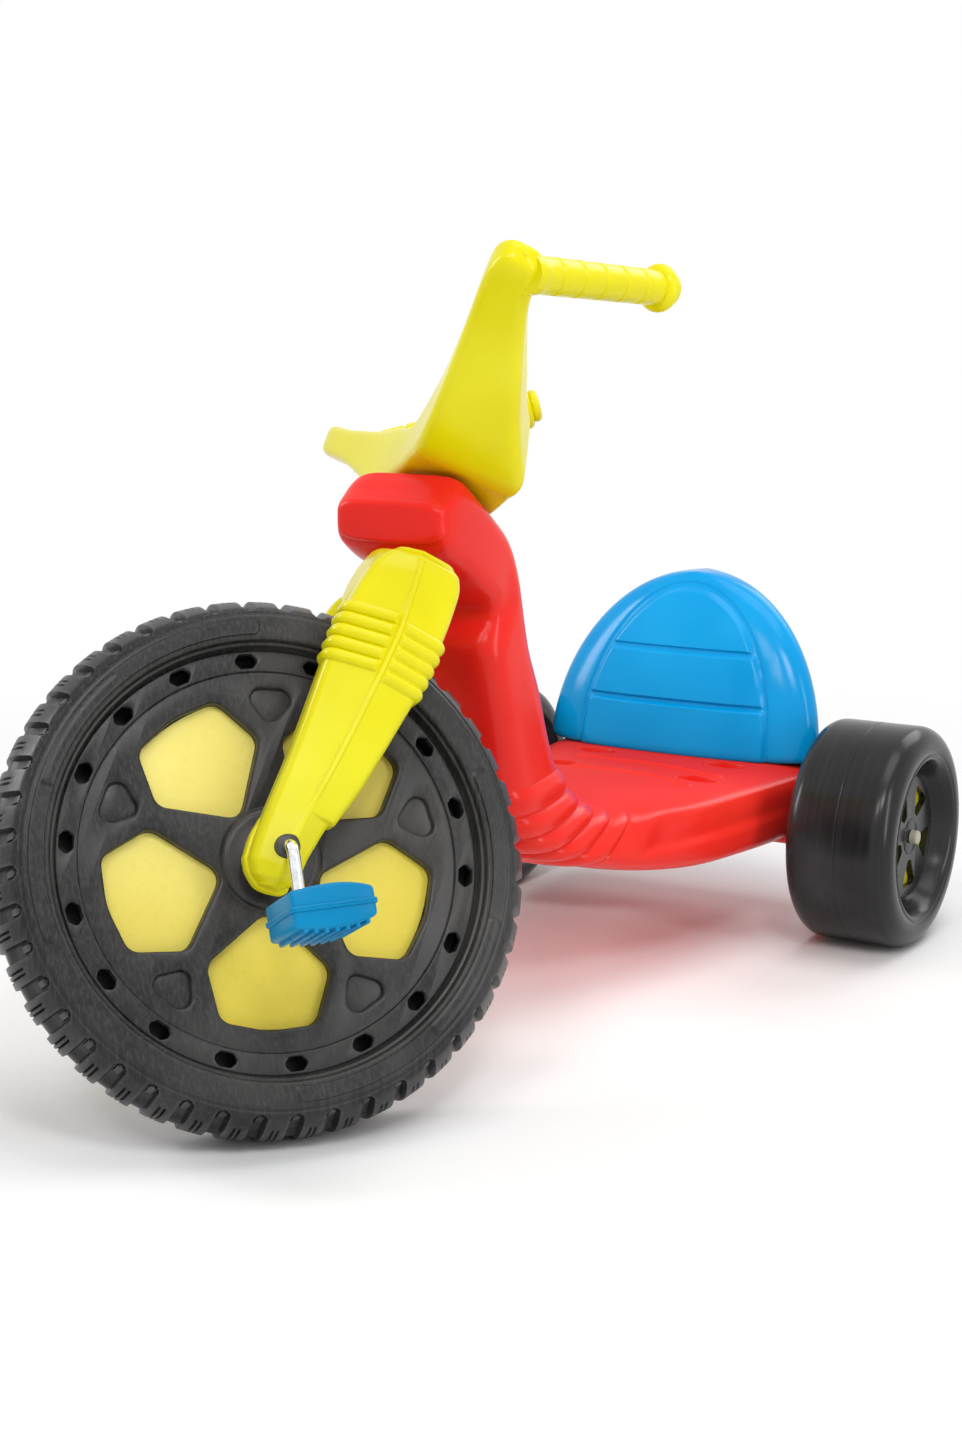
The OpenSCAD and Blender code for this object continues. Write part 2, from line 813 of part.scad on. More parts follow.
module hub_disc() {
    color(yellow)
        translate([dish_x + seat_gap, 0, rear_r])
            along_x()
                difference() {
                    cylinder(h = disc_t, r = spoke_r * disc_share);
                    translate([0, 0, -over]) cylinder(h = disc_t + 2 * over, r = axle_bore);
                }
}

module hub_disc_left() {
    at_frame() mirrored(0) hub_disc();
}

module hub_disc_right() {
    at_frame() mirrored(1) hub_disc();
}

gap_in_share = 0.36;
gap_out_share = 0.84;
gap_in_hw_share = 0.09;
gap_out_hw_share = 0.33;
gap_round_share = 0.07;

// Opening between two spokes
module spoke_gap() {
    polygon(rounded(
        [
            [gap_in_share, gap_in_hw_share] * spoke_r, [gap_in_share, -gap_in_hw_share] * spoke_r,
            [gap_out_share, -gap_out_hw_share] * spoke_r, [gap_out_share, gap_out_hw_share] * spoke_r
        ],
        [for (k = [0:3]) gap_round_share * spoke_r], 4
    ));
}

module hub_face() {
    color(black)
        translate([dish_x + 2 * seat_gap + disc_t, 0, rear_r])
            along_x()
                difference() {
                    cylinder(h = spoke_t, r = spoke_r);
                    translate([0, 0, -over]) {
                        cylinder(h = spoke_t + 2 * over, r = axle_bore);
                        for (k = [0:spoke_count - 1])
                            rotate([0, 0, 360 * k / spoke_count])
                                linear_extrude(spoke_t + 2 * over) spoke_gap();
                    }
                }
}

module hub_face_left() {
    at_frame() mirrored(0) hub_face();
}

module hub_face_right() {
    at_frame() mirrored(1) hub_face();
}

// Fork and handlebar

// Leg from foot to top: height, then front edge, rear edge and ridge ahead of the steering axis
// in leg_w, then the reach of the ridge beyond the inner face
leg_shares = [
    [0, 0.38, 0.15, 0.28, 0.74], [0.015, 0.46, 0.08, 0.27, 0.84], [0.05, 0.53, 0.03, 0.26, 0.89],
    [0.1, 0.54, 0.02, 0.25, 0.9], [0.195, 0.53, -0.045, 0.227, 0.92], [0.32, 0.505, -0.17, 0.16, 0.95],
    [0.447, 0.495, -0.26, 0.1, 0.97], [0.613, 0.49, -0.37, 0.034, 1], [0.745, 0.475, -0.425, -0.01, 0.98],
    [0.845, 0.43, -0.445, -0.01, 0.94], [0.94, 0.36, -0.45, -0.01, 0.86], [0.98, 0.28, -0.42, -0.01, 0.76],
    [1, 0.2, -0.36, -0.01, 0.6]
];
leg_span = leg_top + leg_foot;
leg_reach = leg_ridge - leg_in;
front_edge_share = 0.62;
rear_edge_share = 0.66;
step_reach_share = 0.6;
rib_shift_share = 0.5;
rib_first = rib_foot - rib_pitch / 2;
rib_last = rib_foot + (rib_count + rib_shift_share - 0.5) * rib_pitch;
leg_rows = [for (r = leg_shares) r[0] * leg_span - leg_foot];
leg_heights = concat(
    [for (z = leg_rows) if (z < step_z - step_deep) z],
    [step_z - step_deep / 2, step_z],
    [for (z = leg_rows) if (z > step_z && z < rib_first) z],
    [for (z = [rib_first:rib_pitch / 4:rib_last]) z],
    [for (z = leg_rows) if (z > rib_last + over) z]
);

// Column of the leg's table at a height above the axle
function leg_col(z, k) = lookup((z + leg_foot) / leg_span, [for (r = leg_shares) [r[0], r[k]]]);

// Height of the ribs at a distance above the lowest one
function rib(z) =
    z < -rib_pitch / 2 || z > (rib_count - 0.5) * rib_pitch
        ? 0
        : rib_h * (1 + cos(360 * z / rib_pitch)) / 2;

function leg_ring(z) =
    let (
        fore = rib(z - rib_foot - rib_shift_share * rib_pitch),
        aft = rib(z - rib_foot),
        front = -leg_col(z, 1) * leg_w - fore,
        cut = z < step_z ? step_deep : 0,
        rear = -leg_col(z, 2) * leg_w + aft - cut,
        ridge = -leg_col(z, 3) * leg_w,
        out = leg_reach * leg_col(z, 4),
        outline = rounded(
            [
                [leg_in, front], [leg_in + out * front_edge_share + fore, front], [leg_in + out, ridge],
                [leg_in + out * rear_edge_share + aft - cut * step_reach_share, rear], [leg_in, rear]
            ],
            [leg_round / 2, leg_round, leg_round / 2, leg_round, leg_round / 2], 3
        )
    )
    [for (p = outline) [p.x, p.y, z]];

// Crown across the wheel: place in leg_in, half-depth and rise
crown_shares = [
    [-1.28, 0.5, 0], [-0.9, 0.58, 0.16], [-0.45, 0.6, 0.32], [0, 0.6, 0.38],
    [0.45, 0.6, 0.32], [0.9, 0.58, 0.16], [1.28, 0.5, 0]
];
crown_high = leg_top - crown_step;

module crown() {
    tall = crown_high - crown_low;
    loft([
        for (r = crown_shares)
            ring(
                [r[0] * leg_in, crown_y, (crown_low + crown_high) / 2 + r[2] * tall],
                [0, 1, 0], [0, 0, 1], r[1] * leg_w / 2, tall / 2, 5, 24
            )
    ]);
}

module fork() {
    color(yellow)
        at_fork()
            difference() {
                union() {
                    for (side = [0, 1])
                        mirrored(side) loft([for (z = leg_heights) leg_ring(z)]);
                    crown();
                    translate([0, 0, crown_high - stem_sink / 2])
                        cylinder(h = boss_top - crown_high + stem_sink / 2, r = boss_r);
                }
                translate([0, 0, boss_top - stem_sink - seat_gap])
                    cylinder(h = stem_sink + over, r = stem_bore);
                translate([-leg_ridge - over, -fork_offset, 0])
                    along_x() cylinder(h = 2 * (leg_ridge + over), r = crank_bush_r + seat_gap);
            }
}

module steering_stem() {
    low = boss_top - stem_sink;
    high = bar_low + stem_rise;
    color(steel)
        at_fork()
            difference() {
                translate([0, 0, low]) cylinder(h = high - low, r = stem_r);
                translate([0, 0, high - screw_sink - seat_gap])
                    cylinder(h = screw_sink + over, r = screw_r + run_gap);
            }
}

// Handlebar from the middle to an arm's end: place in bar_hw, front and rear edge ahead of the
// steering axis in bar_deep, underside and top above bar_low in bar_rise, squareness
bar_shares = [
    [0, 0.32, -0.68, 0, 0.4, 6], [0.135, 0.335, -0.68, 0, 0.46, 6], [0.216, 0.352, -0.66, -0.012, 0.52, 6.5],
    [0.28, 0.368, -0.63, 0.01, 0.55, 6], [0.365, 0.394, -0.52, 0.092, 0.59, 5.4],
    [0.473, 0.436, -0.34, 0.23, 0.645, 4.8], [0.6, 0.492, -0.16, 0.38, 0.72, 4.2],
    [0.72, 0.55, 0, 0.51, 0.79, 4], [0.838, 0.61, 0.135, 0.612, 0.875, 3.6],
    [0.914, 0.631, 0.194, 0.672, 0.935, 3.2], [0.964, 0.601, 0.233, 0.716, 0.93, 2.8],
    [0.991, 0.547, 0.282, 0.755, 0.905, 2.4], [1, 0.491, 0.341, 0.79, 0.87, 2.2]
];
bar_points = 28;

function bar_ring(r, side) =
    ring(
        [side * r[0] * bar_hw, -(r[1] + r[2]) / 2 * bar_deep, bar_low + (r[3] + r[4]) / 2 * bar_rise],
        [0, 1, 0], [0, 0, 1], (r[1] - r[2]) / 2 * bar_deep, (r[4] - r[3]) / 2 * bar_rise, r[5], bar_points
    );

last_bar = len(bar_shares) - 1;
grip_root_share = 0.12;
grip_cap_share = 0.115;
grip_taper_share = 0.9;
cap_share = 0.92;

// Grip's outline from its root in the arm to its rounded end
function grip_outline() =
    let (
        from = grip_len * grip_root_share,
        to = grip_len * (1 - grip_cap_share),
        step = (to - from) / grip_segments,
        groove = grip_groove
    )
    concat(
        [[0, 0], [grip_r, 0]],
        [
            for (k = [0:grip_segments - 1])
                let (
                    r = grip_r * (1 - (1 - grip_taper_share) * k / grip_segments),
                    z = from + k * step
                )
                each [[r - groove, z], [r, z + groove], [r, z + step - groove], [r - groove, z + step]]
        ],
        [
            [grip_flange_r - groove, to + groove], [grip_flange_r, to + 2 * groove],
            [grip_flange_r, to + 5 * groove], [grip_flange_r - groove, to + 6 * groove],
            [grip_r * cap_share + groove, to + 7 * groove], [grip_r * cap_share, grip_len - 2 * groove],
            [grip_r * cap_share - 2 * groove, grip_len], [0, grip_len]
        ]
    );

module grip() {
    translate([grip_x, grip_y, grip_z])
        rotate([0, 0, grip_toe])
            rotate([grip_lift, 0, 0])
                rotate([-90, 0, 0])
                    rotate_extrude() polygon(grip_outline());
}

bar_top = bar_low + bar_shares[0][4] * bar_rise;

module handlebar() {
    color(yellow)
        at_bar()
            difference() {
                union() {
                    loft(concat(
                        [for (k = [last_bar:-1:0]) bar_ring(bar_shares[k], -1)],
                        [for (k = [1:last_bar]) bar_ring(bar_shares[k], 1)]
                    ));
                    for (side = [0, 1])
                        mirrored(side) grip();
                }
                translate([0, 0, bar_low - over])
                    cylinder(h = stem_rise + over + seat_gap, r = stem_bore);
                translate([0, 0, bar_low]) cylinder(h = bar_rise, r = screw_r + seat_gap);
                translate([0, 0, bar_top - screw_head_h])
                    cylinder(h = screw_head_h + over, r = screw_head_r + seat_gap);
            }
}

module stem_screw() {
    low = bar_low + stem_rise - screw_sink;
    head = bar_top - screw_head_h + seat_gap;
    color(steel)
        at_fork() {
            translate([0, 0, low]) cylinder(h = head - low + screw_head_h / 2, r = screw_r);
            translate([0, 0, head]) cylinder(h = screw_head_h, r = screw_head_r);
        }
}

bush_end_share = 0.86;

// Bush of the crank in one leg: its flange lies between leg and wheel
module crank_bush() {
    color(cream)
        at_fork()
            translate([0, -fork_offset, 0])
                children();
}

module crank_bush_shape() {
    end = leg_in + leg_reach * bush_end_share;
    along_x()
        difference() {
            union() {
                translate([0, 0, leg_in - seat_gap - crank_flange_t])
                    cylinder(h = crank_flange_t, r = crank_flange_r);
                translate([0, 0, leg_in - seat_gap - crank_flange_t])
                    cylinder(h = end - leg_in + seat_gap + crank_flange_t, r = crank_bush_r);
            }
            cylinder(h = leg_ridge + over, r = rod_bore);
        }
}

module crank_bush_left() {
    crank_bush() mirrored(0) crank_bush_shape();
}

module crank_bush_right() {
    crank_bush() mirrored(1) crank_bush_shape();
}

// Front wheel, crank and pedals

hub_nose = leg_in - seat_gap - crank_flange_t - side_gap;

// Right half of the wheel's section, from the bore to the crown
wheel_half = concat(
    [
        [rod_bore, hub_nose], [hub_nose_r, hub_nose], [hub_nose_r, hub_hw], [hub_r - hub_round, hub_hw],
        [hub_r, hub_hw - hub_round], [hub_r, disc_hw], [ring_in_share * wheel_r, disc_hw],
        [ring_in_share * wheel_r, rim_hw], [ring_out_share * wheel_r, rim_hw],
        [ring_out_share * wheel_r, disc_hw * groove_share],
        [tyre_shares[0].x * wheel_r, disc_hw * groove_share]
    ],
    [for (t = tyre_shares) [t.x * wheel_r, t.y * tyre_hw]]
);
last_half = len(wheel_half) - 1;

window_points = [
    [window_in, 0], [window_mid, -window_hw], [window_out, -window_out_hw], [window_out + window_bow, 0],
    [window_out, window_out_hw], [window_mid, window_hw]
];
window_radii = [window_round, window_round, window_round, window_out, window_round, window_round];
notch_in_share = 0.6;
notch_points = [
    [notch_r - notch_h * notch_in_share, 0], [notch_r + notch_h * (1 - notch_in_share), -notch_hw],
    [notch_r + notch_h * (1 - notch_in_share), notch_hw]
];

// A child at every window, turned from the steering axis towards the front
module at_window(k) {
    rotate([0, 0, 180 + window_turn + k * window_step]) children();
}

module hole_cut() {
    for (e = [-1, 1])
        translate([hole_ring_r, e * hole_run / 2, 0])
            cylinder(h = hole_deep + over, r = hole_r, $fn = 32);
    translate([hole_ring_r - hole_r, -hole_run / 2, 0]) cube([2 * hole_r, hole_run, hole_deep + over]);
}

// Pockets, recesses and holes of one face
module face_cuts() {
    for (k = [0:window_count - 1]) {
        at_window(k)
            translate([0, 0, disc_hw - window_deep])
                linear_extrude(window_deep + over) polygon(rounded(window_points, window_radii, 4));
        at_window(k + 0.5)
            translate([0, 0, disc_hw - notch_deep])
                linear_extrude(notch_deep + over)
                    polygon(rounded(notch_points, [notch_round, notch_round, notch_round], 4));
    }
    for (k = [0:hole_count - 1])
        rotate([0, 0, 180 + hole_turn + 360 * k / hole_count])
            translate([0, 0, rim_hw - hole_deep]) hole_cut();
}

// Gaps between the tread blocks of one shoulder
module shoulder_cuts() {
    for (k = [0:knob_count - 1])
        rotate([0, 0, 360 * k / knob_count])
            translate([wheel_r * knob_foot_share, -knob_gap / 2, tyre_hw * knob_in_share])
                cube([wheel_r, knob_gap, tyre_hw]);
}

module middle_cuts() {
    reach = tyre_hw * knob_mid_share;
    for (k = [0:knob_count - 1])
        rotate([0, 0, 360 * (k + 0.5) / knob_count])
            translate([wheel_r - knob_h, -knob_gap / 2, -reach])
                cube([knob_h + over, knob_gap, 2 * reach]);
}

module front_wheel() {
    color(black)
        at_wheel()
            difference() {
                rotate_extrude($fn = 120)
                    polygon(concat(
                        wheel_half,
                        [for (k = [last_half - 1:-1:0]) [wheel_half[k].x, -wheel_half[k].y]]
                    ));
                for (side = [0, 1])
                    mirror([0, 0, side]) {
                        face_cuts();
                        rotate([0, 0, 180 * side / knob_count]) shoulder_cuts();
                    }
                middle_cuts();
            }
}

module window_panel(k, side) {
    color(gold)
        at_wheel()
            mirror([0, 0, side])
                at_window(k)
                    translate([0, 0, disc_hw - window_deep + seat_gap])
                        linear_extrude(panel_t)
                            polygon(rounded(
                                inset(window_points, seat_gap),
                                [for (r = window_radii) r - seat_gap], 4
                            ));
}

module panel_l1() {
    window_panel(0, 0);
}

module panel_l2() {
    window_panel(1, 0);
}

module panel_l3() {
    window_panel(2, 0);
}

module panel_l4() {
    window_panel(3, 0);
}

module panel_l5() {
    window_panel(4, 0);
}

module panel_r1() {
    window_panel(0, 1);
}

module panel_r2() {
    window_panel(1, 1);
}

module panel_r3() {
    window_panel(2, 1);
}

module panel_r4() {
    window_panel(3, 1);
}

module panel_r5() {
    window_panel(4, 1);
}

// Quarter bend of the rod in the x-z plane, from the top of its circle to its right
module bend() {
    rotate([90, 0, 0]) rotate_extrude(angle = 90) translate([bend_r, 0]) circle(r = rod_r);
}

pin_end = pedal_out - pedal_wall - side_gap;

// Half of the crank from the wheel's middle to the end of its pin
module half_crank() {
    along_x() cylinder(h = arm_out - bend_r, r = rod_r);
    translate([arm_out - bend_r, 0, -bend_r]) bend();
    translate([arm_out, 0, -crank_throw + bend_r]) cylinder(h = crank_throw - 2 * bend_r, r = rod_r);
    translate([arm_out + bend_r, 0, -crank_throw + bend_r]) rotate([0, 180, 0]) bend();
    translate([pin_start, 0, -crank_throw]) along_x() cylinder(h = pin_end - pin_start, r = rod_r);
}

module crank() {
    color(steel) {
        crank_side(0) half_crank();
        crank_side(1) half_crank();
    }
}

module pedal_washer(side) {
    color(cream)
        crank_side(side)
            translate([pin_start + seat_gap, 0, -crank_throw])
                along_x()
                    difference() {
                        cylinder(h = washer_t, r = washer_r);
                        translate([0, 0, -over]) cylinder(h = washer_t + 2 * over, r = rod_bore);
                    }
}

module pedal_washer_left() {
    pedal_washer(0);
}

module pedal_washer_right() {
    pedal_washer(1);
}

pedal_steps = 8;

// Half the thickness of a pedal at a place across it
function pedal_half(y) =
    let (
        way = 2 * y / pedal_w,
        edge = (pedal_front_t + pedal_rear_t + way * (pedal_rear_t - pedal_front_t)) / 2
    )
    (edge + (pedal_mid_t - edge) * (1 - way * way)) / 2;

// Pedal about its pin, from x = 0 outwards
module pedal_shape() {
    rise = [for (k = [0:pedal_steps]) let (y = pedal_w * (k / pedal_steps - 0.5)) [y, pedal_half(y)]];
    difference() {
        union() {
            rotate([90, 0, 90])
                linear_extrude(pedal_len)
                    polygon(concat(
                        [for (p = rise) [p.x, -p.y]],
                        [for (k = [pedal_steps:-1:0]) rise[k]]
                    ));
            translate([-band_out, -pedal_w / 2 - band_out, -band_h / 2])
                cube([pedal_len + 2 * band_out, pedal_w + 2 * band_out, band_h]);
            for (k = [1:tread_count]) {
                y = pedal_w * (k / (tread_count + 1) - 0.5);
                tall = pedal_half(y) + tread_h;
                translate([0, y - tread_w / 2, -tall]) cube([pedal_len, tread_w, tall]);
            }
        }
        translate([-over, 0, 0]) along_x() cylinder(h = pedal_len - pedal_wall + over, r = rod_bore);
    }
}

module pedal(side) {
    color(blue)
        crank_side(side)
            translate([pedal_in + band_out, 0, -crank_throw])
                rotate([pedal_tilt - crank_turn, 0, 0]) pedal_shape();
}

module pedal_left() {
    pedal(0);
}

module pedal_right() {
    pedal(1);
}

frame_body();
head_bush_lower();
head_bush_upper();
seat();
seat_bolt_left();
seat_bolt_right();
rear_axle();
axle_cap_left();
axle_cap_right();
spacer_left();
spacer_right();
fork();
steering_stem();
handlebar();
stem_screw();
crank_bush_left();
crank_bush_right();
front_wheel();
crank();
panel_l1();
panel_l2();
panel_l3();
panel_l4();
panel_l5();
panel_r1();
panel_r2();
panel_r3();
panel_r4();
panel_r5();
pedal_left();
pedal_right();
pedal_washer_left();
pedal_washer_right();
rear_tyre_left();
rear_tyre_right();
hub_disc_left();
hub_disc_right();
hub_face_left();
hub_face_right();
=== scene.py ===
import math

import bpy
import numpy as np
from mathutils import Matrix, Vector


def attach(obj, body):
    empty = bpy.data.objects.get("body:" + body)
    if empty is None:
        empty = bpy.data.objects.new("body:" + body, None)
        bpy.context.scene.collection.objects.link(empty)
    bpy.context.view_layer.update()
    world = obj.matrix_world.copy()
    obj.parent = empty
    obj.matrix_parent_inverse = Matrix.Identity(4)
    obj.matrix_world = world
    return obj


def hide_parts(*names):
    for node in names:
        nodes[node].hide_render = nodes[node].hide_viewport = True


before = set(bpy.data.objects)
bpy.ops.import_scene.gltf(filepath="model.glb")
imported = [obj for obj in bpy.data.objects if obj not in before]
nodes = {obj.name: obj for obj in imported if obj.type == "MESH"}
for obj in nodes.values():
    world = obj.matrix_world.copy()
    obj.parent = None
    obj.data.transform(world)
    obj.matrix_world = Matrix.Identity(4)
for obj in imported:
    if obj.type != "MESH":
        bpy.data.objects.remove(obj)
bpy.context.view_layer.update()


def turn(degrees, axis):
    return Matrix.Rotation(math.radians(degrees), 4, axis)


def shift(x, y, z):
    return Matrix.Translation((x, y, z))


# Places of the moulded pieces, in millimetres of the part's own construction
rear_axle_height = 104
as_drawn = Matrix.Identity(4)
flip = Matrix.Scale(-1, 4, (1, 0, 0))
upside_down = Matrix.Scale(-1, 4, (0, 0, 1))
at_frame = Matrix.Scale(0.001, 4) @ shift(0, 365.3, 0)
at_head = at_frame @ shift(0, -645.5, 179.6) @ turn(-35, "X")
at_fork = at_head @ turn(-45, "Z")
at_bar = at_fork @ turn(2.5, "Z")
at_axle = at_fork @ shift(0, -25, 0)
at_wheel = at_axle @ turn(90, "Y")
at_crank = at_axle @ turn(27, "X")
along_x = turn(90, "Y")


# Shaping

def smoothstep(low, high, value):
    """Soft ramp from 0 at low to 1 at high."""
    way = np.clip((value - low) / (high - low), 0, 1)
    return way * way * (3 - 2 * way)


def row_at(table, place):
    """Row of a table at a place between two rows, on a smooth curve through the rows."""
    last = len(table) - 1
    i = min(int(place), last - 1)
    f = place - i
    a, b, c, d = table[max(i - 1, 0)], table[i], table[i + 1], table[min(i + 2, last)]
    return b + 0.5 * f * (c - a + f * (2 * a - 5 * b + 4 * c - d + f * (3 * (b - c) + d - a)))


def evenly(points, count):
    """Points at even distances along a line."""
    run = np.concatenate([[0], np.cumsum(np.linalg.norm(np.diff(points, axis=0), axis=1))])
    stops = np.linspace(0, run[-1], count)
    return np.stack([np.interp(stops, run, points[:, k]) for k in range(points.shape[1])], axis=1)


def soft_box(half_u, half_w, square, count):
    """Closed outline between an ellipse and a box, its points at even distances."""
    t = np.linspace(0, 2 * math.pi, 481)
    u = half_u * np.sign(np.cos(t)) * np.abs(np.cos(t)) ** (2 / square)
    w = half_w * np.sign(np.sin(t)) * np.abs(np.sin(t)) ** (2 / square)
    return evenly(np.stack([u, w], axis=1), count + 1)[:-1]


def round_corners(corners, radii, on_corner, on_edge):
    """Closed outline with rounded corners, with so many points on each corner and on each edge."""
    corners = [np.array(c, float) for c in corners]
    n = len(corners)
    arcs = []
    for i in range(n):
        a, b, c, r = corners[i - 1], corners[i], corners[(i + 1) % n], radii[i]
        e1, e2 = (a - b) / np.linalg.norm(a - b), (c - b) / np.linalg.norm(c - b)
        half = math.acos(np.clip(e1 @ e2, -1, 1)) / 2
        m = b + (e1 + e2) / np.linalg.norm(e1 + e2) * r / math.sin(half)
        p, q = b + e1 * r / math.tan(half) - m, b + e2 * r / math.tan(half) - m
        a1 = math.atan2(p[1], p[0])
        by = (math.atan2(q[1], q[0]) - a1 + 3 * math.pi) % (2 * math.pi) - math.pi
        t = a1 + by * np.linspace(0, 1, on_corner)
        arcs.append(m + r * np.stack([np.cos(t), np.sin(t)], axis=1))
    outline = []
    for i in range(n):
        outline.append(arcs[i])
        a, b = arcs[i][-1], arcs[(i + 1) % n][0]
        outline.append(a + (b - a) * np.linspace(0, 1, on_edge + 2)[1:-1, None])
    return np.concatenate(outline)


def outward(outline):
    """Unit steps out of a closed outline that runs anticlockwise."""
    way = np.roll(outline, -1, axis=0) - np.roll(outline, 1, axis=0)
    return np.stack([way[:, 1], -way[:, 0]], axis=1) / np.linalg.norm(way, axis=1)[:, None]


def pushed_out(outline, by):
    """Outline moved along its own outward side."""
    return outline + outward(outline) * by[:, None]


def rounded_end(ring, way, radius):
    """Rings that close an end with a round edge: the last ring drawn in and moved out."""
    middle = ring.mean(axis=0)
    reach = np.linalg.norm(ring - middle, axis=1).min()
    radius = min(radius, 0.9 * reach)
    rings = []
    for s in np.radians([20, 40, 60, 75, 90]):
        drawn_in = 1 - radius * (1 - math.cos(s)) / reach
        rings.append(middle + (ring - middle) * drawn_in + way * radius * math.sin(s))
    return rings


def skin(name, rings, place, ends=True, near=0.000002):
    """A grid is added, rolled up along the rings, sewn together and filled at its ends."""
    rings = np.array(rings)
    count, points = rings.shape[:2]
    bpy.ops.object.select_all(action="DESELECT")
    bpy.ops.mesh.primitive_grid_add(x_subdivisions=points, y_subdivisions=count - 1)
    piece = bpy.context.object
    piece.name = piece.data.name = name
    placed = rings @ np.array(place.to_3x3()).T + np.array(place.translation)
    piece.data.vertices.foreach_set("co", np.concatenate([placed, placed[:, :1]], axis=1).ravel())
    bpy.ops.object.mode_set(mode="EDIT")
    bpy.ops.mesh.select_all(action="SELECT")
    bpy.ops.mesh.remove_doubles(threshold=near)
    if ends:
        bpy.ops.mesh.fill_holes(sides=0)
        bpy.ops.mesh.normals_make_consistent(inside=False)
    bpy.ops.object.mode_set(mode="OBJECT")
    return piece


def lathe(name, outline, steps, place):
    """A closed outline of radius and height, turned about the axis of height."""
    t = np.linspace(0, 2 * math.pi, steps + 1)
    r, z = np.array(outline, float).T
    rings = [np.stack([r * math.cos(a), r * math.sin(a), z], axis=1) for a in t]
    rings[-1] = rings[0]
    return skin(name, rings, place)


def plate(name, outlines, low, high, edge, place):
    """A flat drawing: a rim and then its holes, each an outline.

    Every outline gets a wall with a round top edge, then both faces are filled.
    """
    walls = []
    for k, outline in enumerate(outlines):
        inwards = outward(outline) if k else -outward(outline)
        rings = [np.column_stack([outline, np.full(len(outline), low)])]
        for t in np.radians([0, 30, 60, 90]):
            moved = outline + inwards * edge * (1 - math.cos(t))
            level = high - edge + edge * math.sin(t)
            rings.append(np.column_stack([moved, np.full(len(outline), level)]))
        walls.append(skin(name, rings, as_drawn, ends=False, near=0.001))
    piece = joined(name, walls) if len(walls) > 1 else walls[0]
    for face in (low, high):
        bpy.ops.object.mode_set(mode="EDIT")
        bpy.ops.mesh.select_all(action="DESELECT")
        bpy.ops.object.mode_set(mode="OBJECT")
        for edge_line in piece.data.edges:
            ends = [piece.data.vertices[i] for i in edge_line.vertices]
            edge_line.select = all(abs(v.co.z - face) < 0.0001 for v in ends)
        bpy.ops.object.mode_set(mode="EDIT")
        bpy.ops.mesh.select_mode(type="EDGE")
        bpy.ops.mesh.fill(use_beauty=False)
        bpy.ops.object.mode_set(mode="OBJECT")
    piece.data.transform(place)
    bpy.ops.object.mode_set(mode="EDIT")
    bpy.ops.mesh.select_all(action="SELECT")
    bpy.ops.mesh.normals_make_consistent(inside=False)
    bpy.ops.object.mode_set(mode="OBJECT")
    return piece


def circle(radius, count):
    t = np.linspace(0, 2 * math.pi, count, endpoint=False)
    return radius * np.stack([np.cos(t), np.sin(t)], axis=1)


def turned_by(outline, degrees):
    c, s = math.cos(math.radians(degrees)), math.sin(math.radians(degrees))
    return outline @ np.array([[c, s], [-s, c]])


def pick(*pieces):
    """Select these pieces alone, with the first one active."""
    bpy.ops.object.select_all(action="DESELECT")
    for piece in pieces:
        piece.select_set(True)
    bpy.context.view_layer.objects.active = pieces[0]


def joined(name, pieces):
    pick(*pieces)
    bpy.ops.object.join()
    piece = bpy.context.object
    piece.name = piece.data.name = name
    return piece


def with_tool(piece, tool, operation):
    """The tool is cut from the piece or melted into it, and then thrown away."""
    pick(piece)
    step = piece.modifiers.new("step", "BOOLEAN")
    step.operation = operation
    step.object = tool
    step.solver = "MANIFOLD"
    bpy.ops.object.modifier_apply(modifier=step.name)
    bpy.data.objects.remove(tool)


def finished(piece, body, slot, material, *stands_for):
    """Smooth shading and a material for a piece, and its place in the shared frame."""
    pick(piece)
    bpy.ops.object.shade_smooth_by_angle(angle=math.radians(35))
    piece.data.materials.clear()
    piece.data.materials.append(material)
    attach(piece, body)
    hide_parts(*stands_for)
    return piece


# Finishes

def add(tree, kind, values=(), **settings):
    node = tree.nodes.new(kind)
    for key, value in settings.items():
        setattr(node, key, value)
    for key, value in dict(values).items():
        node.inputs[key].default_value = value
    return node


def noise(tree, where, scale, detail=3, rough=0.5):
    node = add(tree, "ShaderNodeTexNoise", {"Scale": scale, "Detail": detail, "Roughness": rough})
    tree.links.new(where, node.inputs["Vector"])
    return node.outputs["Fac"]


def ramp(tree, value, stops):
    node = add(tree, "ShaderNodeValToRGB")
    line = node.color_ramp
    while len(line.elements) < len(stops):
        line.elements.new(0.5)
    for element, (place, colour) in zip(line.elements, stops):
        element.position = place
        element.color = (*colour, 1)
    tree.links.new(value, node.inputs["Fac"])
    return node.outputs["Color"]


def spread(tree, value, low, high, to_low, to_high):
    node = add(tree, "ShaderNodeMapRange", {
        "From Min": low, "From Max": high, "To Min": to_low, "To Max": to_high})
    tree.links.new(value, node.inputs["Value"])
    return node.outputs["Result"]


def times(tree, a, b):
    node = add(tree, "ShaderNodeMath", operation="MULTIPLY")
    tree.links.new(a, node.inputs[0])
    tree.links.new(b, node.inputs[1])
    return node.outputs["Value"]


def mixed(tree, share, a, b):
    node = add(tree, "ShaderNodeMix", data_type="RGBA")
    tree.links.new(share, node.inputs["Factor"])
    for socket, colour in ((node.inputs["A"], a), (node.inputs["B"], b)):
        if isinstance(colour, tuple):
            socket.default_value = (*colour, 1)
        else:
            tree.links.new(colour, socket)
    return node.outputs["Result"]


def bumped(tree, height, depth, strength):
    node = add(tree, "ShaderNodeBump", {"Distance": depth, "Strength": strength})
    tree.links.new(height, node.inputs["Height"])
    return node.outputs["Normal"]


def new_finish(name):
    material = bpy.data.materials.new(name)
    material.use_nodes = True
    tree = material.node_tree
    where = add(tree, "ShaderNodeTexCoord").outputs["Object"]
    return material, tree, tree.nodes["Principled BSDF"], where


